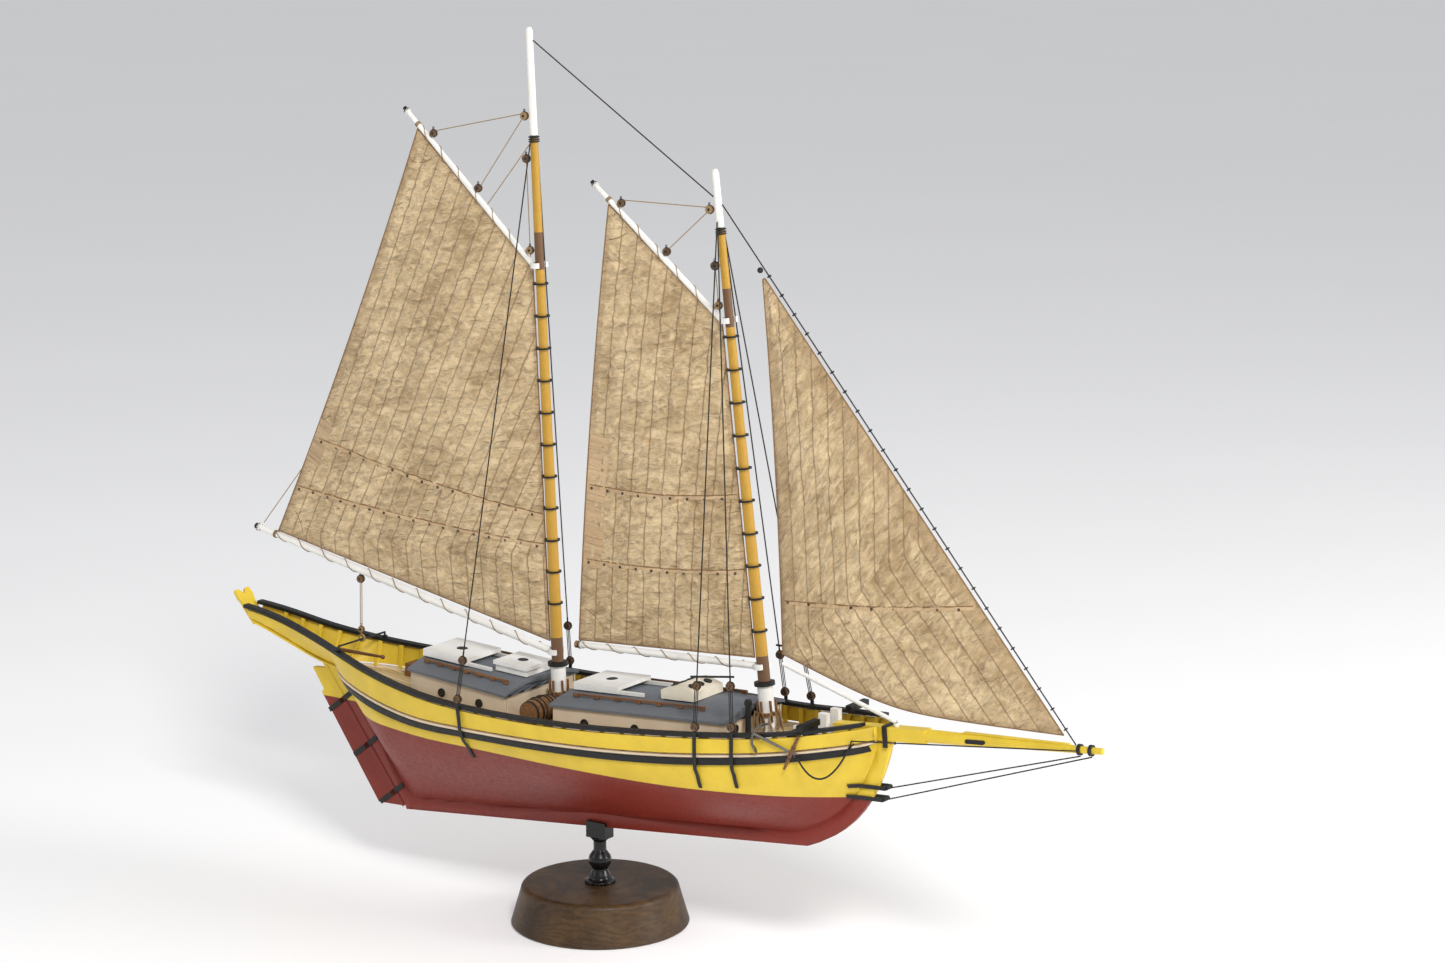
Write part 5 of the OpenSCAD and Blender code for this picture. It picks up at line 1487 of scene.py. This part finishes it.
@dataclass
class Rig:
    """A gaff rig: boom, gaff, sail, hoops, blocks and lines, all swinging together."""

    label: str
    boom: Spar
    gaff: Spar
    boom_run: float
    gaff_run: float
    leech_bow: float
    bands: tuple[tuple[Flat, Flat], ...]
    patch: tuple[float, float, float]

    def sail(self, axle: Axle) -> Sail:
        """Lays out the sail between the spars."""
        foot, head = 3.7, -2.8
        slope = math.sin(math.radians(self.boom.slope))
        tack = (-6.6, self.boom.z + foot + 2.0 + 8 * slope)
        clew = self.boom.at(self.boom_run, foot)
        peak = self.gaff.at(self.gaff_run, head)
        throat = (-6.6, self.gaff.z - 2.5)
        bow = ((clew[0] + peak[0]) / 2 + self.leech_bow * (peak[1] - clew[1]),
               (clew[1] + peak[1]) / 2 + self.leech_bow * (clew[0] - peak[0]))
        sag = (between(clew, tack, 0.7)[0], between(clew, tack, 0.7)[1])
        return Sail(f"{self.label}_sail_cloth", f"{self.label}_rig", f"{self.label}_sail", axle,
                    (clew, tack, throat, peak), bow, sag, bands=self.bands, patch=self.patch, arcs=(0, 3),
                    seed=3.0 if self.label == "main" else 11.0)

    def build(self) -> None:
        """Builds the sail and its lacings, and dresses the spars and tackle."""
        axle = Axle.of(f"{self.label}_rig_swing")
        body = f"{self.label}_rig"
        self.sail(axle).build([f"{self.label}_boom", f"{self.label}_gaff"])
        for node in ("boom", "gaff"):
            self.dress_spar(f"{self.label}_{node}", self.boom if node == "boom" else self.gaff, axle)
        self.lacing(axle, body)
        self.tackle(axle, body)

    def dress_spar(self, node: str, spar: Spar, axle: Axle) -> None:
        """Paints a spar white, with a black band at the end."""
        band = 4.4

        def pick(middle: Vector, normal: Vector) -> int:
            """The band by distance along the spar."""
            x, z = axle.local(middle * MM)
            a = math.radians(spar.slope)
            along = -(x + spar.reach) * math.cos(a) + (z - spar.z) * math.sin(a)
            return 1 if along > spar.length - band else 0

        dress(node, [ENAMEL, BLACK], by_face=pick, edge=0.3)

    def lacing(self, axle: Axle, body: str) -> None:
        """Winds the lacing round the gaff and the boom."""
        for label, spar, pitch, run in (("gaff", self.gaff, 22.0, self.gaff_run),
                                        ("boom", self.boom, 25.0, self.boom_run)):
            stock, path = Stock(), []
            steps = int(run / pitch * 18)
            a = math.radians(spar.slope)
            for k in range(steps + 1):
                d = 10.0 + (run - 10.0) * k / steps
                turn = 2 * math.pi * (d - 10.0) / pitch
                r = spar.thick(d) + 0.4
                x, z = spar.at(d, r * math.cos(turn))
                path.append(axle.at(x, r * math.sin(turn), z))
            stock.tube(path, 0.3 * MM, 6)
            for d in (run + 1.0, run + 2.0, run + 3.0):
                x, z = spar.at(d)
                way = (axle.at(*self.flat3(spar.at(d + 1))) - axle.at(x, 0.0, z)).normalized()
                stock.hoop(axle.at(x, 0.0, z), way, (spar.thick(d) + 0.3) * MM, 0.4 * MM, 6)
            stock.piece(f"{self.label}_{label}_lacing", body, [LAID_TAN], "cord")

    @staticmethod
    def flat3(spot: Flat) -> Point:
        """A local place with no offset to the side."""
        return spot[0], 0.0, spot[1]

    def tackle(self, axle: Axle, body: str) -> None:
        """Paints hoops, blocks and lines, and adds strops, pins and hoop seizings."""
        def pick(middle: Vector, size: Vector) -> int:
            """Hoops lie level round the mast, blocks are small and thick, and the rest are lines."""
            if size.y > 8:
                return 0
            return 1 if size.y > 2.8 and max(size.x, size.z) < 8 else 2

        node = f"{self.label}_tackle"
        dress(node, [BLACK, BLOCK, TAN_ROPE], by_solid=pick, edge=0.3)
        strops, pins, ties = Stock(), Stock(), Stock()
        for _, middle, size in islands(node):
            if size.y > 8 * MM:
                edge = middle - Vector((axle.up.z, 0.0, -axle.up.x)) * 6.3 * MM
                for k in (-0.6, 0.6):
                    ties.hoop(edge + axle.up * k * MM, Vector((0, 0, 1)), 1.1 * MM, 0.3 * MM, 6, 0, 14)
                ties.hoop(edge, Vector((0, 1, 0)), 1.2 * MM, 0.3 * MM, 6, 0, 14)
        for middle, radius in self.blocks(node):
            strops.hoop(middle, Vector((0, 1, 0)), (radius + 0.1) * MM, 0.42 * MM, 8)
            eye = middle + axle.up * (radius + 1.2) * MM
            strops.hoop(eye, Vector((1, 0, 0)), 0.9 * MM, 0.32 * MM, 6, 0, 14)
            for side in (-1, 1):
                dome = ((0.0, 1.0), (0.2, 1.0), (0.3, 0.6), (0.32, 0.0))
                head = [(along * MM, half * MM) for along, half in dome]
                pins.turned(middle + Vector((0, side * 1.75 * MM, 0)), Vector((0, side, 0)), head, 14)
        strops.piece(f"{self.label}_block_strops", body, [LAID_BLACK], "cord")
        pins.piece(f"{self.label}_block_pins", body, [IRON], "black_iron")
        ties.piece(f"{self.label}_hoop_seizings", body, [LAID_TAN], "cord")

    def blocks(self, node: str) -> list[tuple[Vector, float]]:
        """Finds the blocks in the tackle, as middles and radii, from its flat round faces."""
        mesh = frame["nodes"][node].data
        spots: dict[tuple[int, int], list[Vector]] = {}
        for face in mesh.polygons:
            if abs(face.normal.y) > 0.99 and 1.4 * MM < abs(face.center.y) < 1.95 * MM:
                for v in face.vertices:
                    co = mesh.vertices[v].co
                    near = (k for k in spots if max(abs(k[0] * MM - co.x), abs(k[1] * MM - co.z)) < 7 * MM)
                    key = next(near, (round(co.x * 1000), round(co.z * 1000)))
                    spots.setdefault(key, []).append(co)
        found = []
        for group in spots.values():
            low = Vector((min(p.x for p in group), 0.0, min(p.z for p in group)))
            high = Vector((max(p.x for p in group), 0.0, max(p.z for p in group)))
            radius = (high.x - low.x) * 500.0
            if 2.0 < radius < 3.6:
                found.append(((low + high) / 2, radius))
        return found


@dataclass
class JibRig:
    """The jib with its hanks and club."""

    def build(self) -> None:
        """Builds the jib's cloth and dresses its hanks and club."""
        axle = Axle.of("jib_swing")
        low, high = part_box("jib_club")
        pivot, end = Vector((high.x - 2 * MM, 0.0, low.z)), Vector((low.x, 0.0, high.z))
        clew = axle.local(end + Vector((0.6, 0.0, 5.6)) * MM)
        turn = axle.local(pivot + Vector((0.0, 0.0, 9.6)) * MM)
        tack, head, peak = (-4.0, 10.5), (-4.0, 402.0), (-6.0, 402.5)
        leech_bow = ((head[0] + clew[0]) / 2 + 8.0, (head[1] + clew[1]) / 2 + 5.0)
        band = ((-156.6, 219.0), (-4.3, 117.0))
        jib = Sail("jib_cloth", "jib", "jib_sail", axle, (clew, tack, head, peak), leech_bow, turn,
                   belly=4.0, bands=(band,), arcs=(0,), seed=23.0, across=84, upward=120, foot_pull=3.5)
        jib.build(["stays", "jib_hanks"])
        dress("jib_hanks", [IRON], edge=0.0)
        dress("jib_club", [ENAMEL], edge=0.0)


@dataclass
class Studio:
    """Pale floor, soft lights and the camera."""

    place: Point = (1.5017, -2.0260, 0.8599)
    turn: tuple[float, float] = (78.5, 34.4)
    lens: float = 85.0

    def camera(self) -> None:
        """Sets the camera."""
        data = bpy.data.cameras.new("camera")
        data.lens, data.sensor_width = self.lens, 36.0
        eye = bpy.data.objects.new("camera", data)
        eye.location = self.place
        eye.rotation_euler = (math.radians(self.turn[0]), 0.0, math.radians(self.turn[1]))
        bpy.context.scene.collection.objects.link(eye)
        bpy.context.scene.camera = eye

    def floor(self) -> None:
        """Lays a wide pale floor."""
        stock = Stock()
        size = 40.0
        rows = [[Vector((x, y, 0.0)) for x in (-size, size)] for y in (-size, size)]
        mesh = bpy.data.meshes.new("floor")
        mesh.from_pydata([tuple(p) for row in rows for p in row], [], [(0, 1, 3, 2)])
        mesh.materials.append(STORE.get(PaleFloor()))
        ground = bpy.data.objects.new("floor", mesh)
        bpy.context.scene.collection.objects.link(ground)

    def lamp(self, name: str, spot: Point, aim: Point, size: float, power: float, warm: Colour) -> None:
        """Hangs one soft light.

        Args:
            name: the light's name.
            spot: where it hangs.
            aim: what it points at.
            size: its width in metres.
            power: watts.
            warm: its colour.
        """
        data = bpy.data.lights.new(name, "AREA")
        data.shape, data.size, data.energy, data.color = "DISK", size, power, warm
        light = bpy.data.objects.new(name, data)
        light.location = spot
        light.rotation_euler = (Vector(aim) - Vector(spot)).to_track_quat("-Z", "Y").to_euler()
        bpy.context.scene.collection.objects.link(light)

    def build(self) -> None:
        """Sets up everything round the model."""
        scene = bpy.context.scene
        scene.view_settings.view_transform = "Standard"
        self.camera()
        self.floor()
        world = bpy.data.worlds.new("pale_room")
        world.use_nodes = True
        world.node_tree.nodes["Background"].inputs[0].default_value = (0.93, 0.94, 0.96, 1.0)
        world.node_tree.nodes["Background"].inputs[1].default_value = 0.5
        scene.world = world
        self.lamp("key", (1.9, -1.6, 2.3), (0.0, 0.0, 0.3), 0.8, 62.0, (1.0, 0.985, 0.96))
        self.lamp("side", (2.4, 0.9, 1.2), (0.1, 0.0, 0.3), 1.2, 38.0, (1.0, 0.99, 0.98))
        self.lamp("fill", (-1.8, -2.0, 1.4), (0.0, 0.0, 0.3), 1.6, 9.0, (0.97, 0.98, 1.0))


def main() -> None:
    """Builds the studio and the model, in order."""
    logging.basicConfig(level=logging.INFO, format="%(name)s: %(message)s")
    Studio().build()
    Anchor().build()
    Stand().build()
    Hull().build()
    Cabins().build()
    Cask().build()
    StandingRigging().build()
    Rig("main", Spar(52.0, 14.1, 306.0, 3.2, 2.4), Spar(350.0, 45.0, 166.0, 2.3, 1.6), 282.0, 146.0, 0.02,
        (((-229.0, 201.5), (-8.0, 157.1)), ((-256.0, 161.4), (-8.0, 133.9))), (183.0, 216.0, 14.0)).build()
    Rig("fore", Spar(55.5, 4.2, 164.0, 2.9, 2.2), Spar(312.0, 45.5, 150.0, 2.3, 1.6), 162.0, 128.0, -0.02,
        (((-142.0, 189.7), (-8.0, 181.9)), ((-160.0, 133.5), (-8.0, 126.0))), (128.0, 228.0, 18.0)).build()
    JibRig().build()


if __name__ == "__main__":
    main()
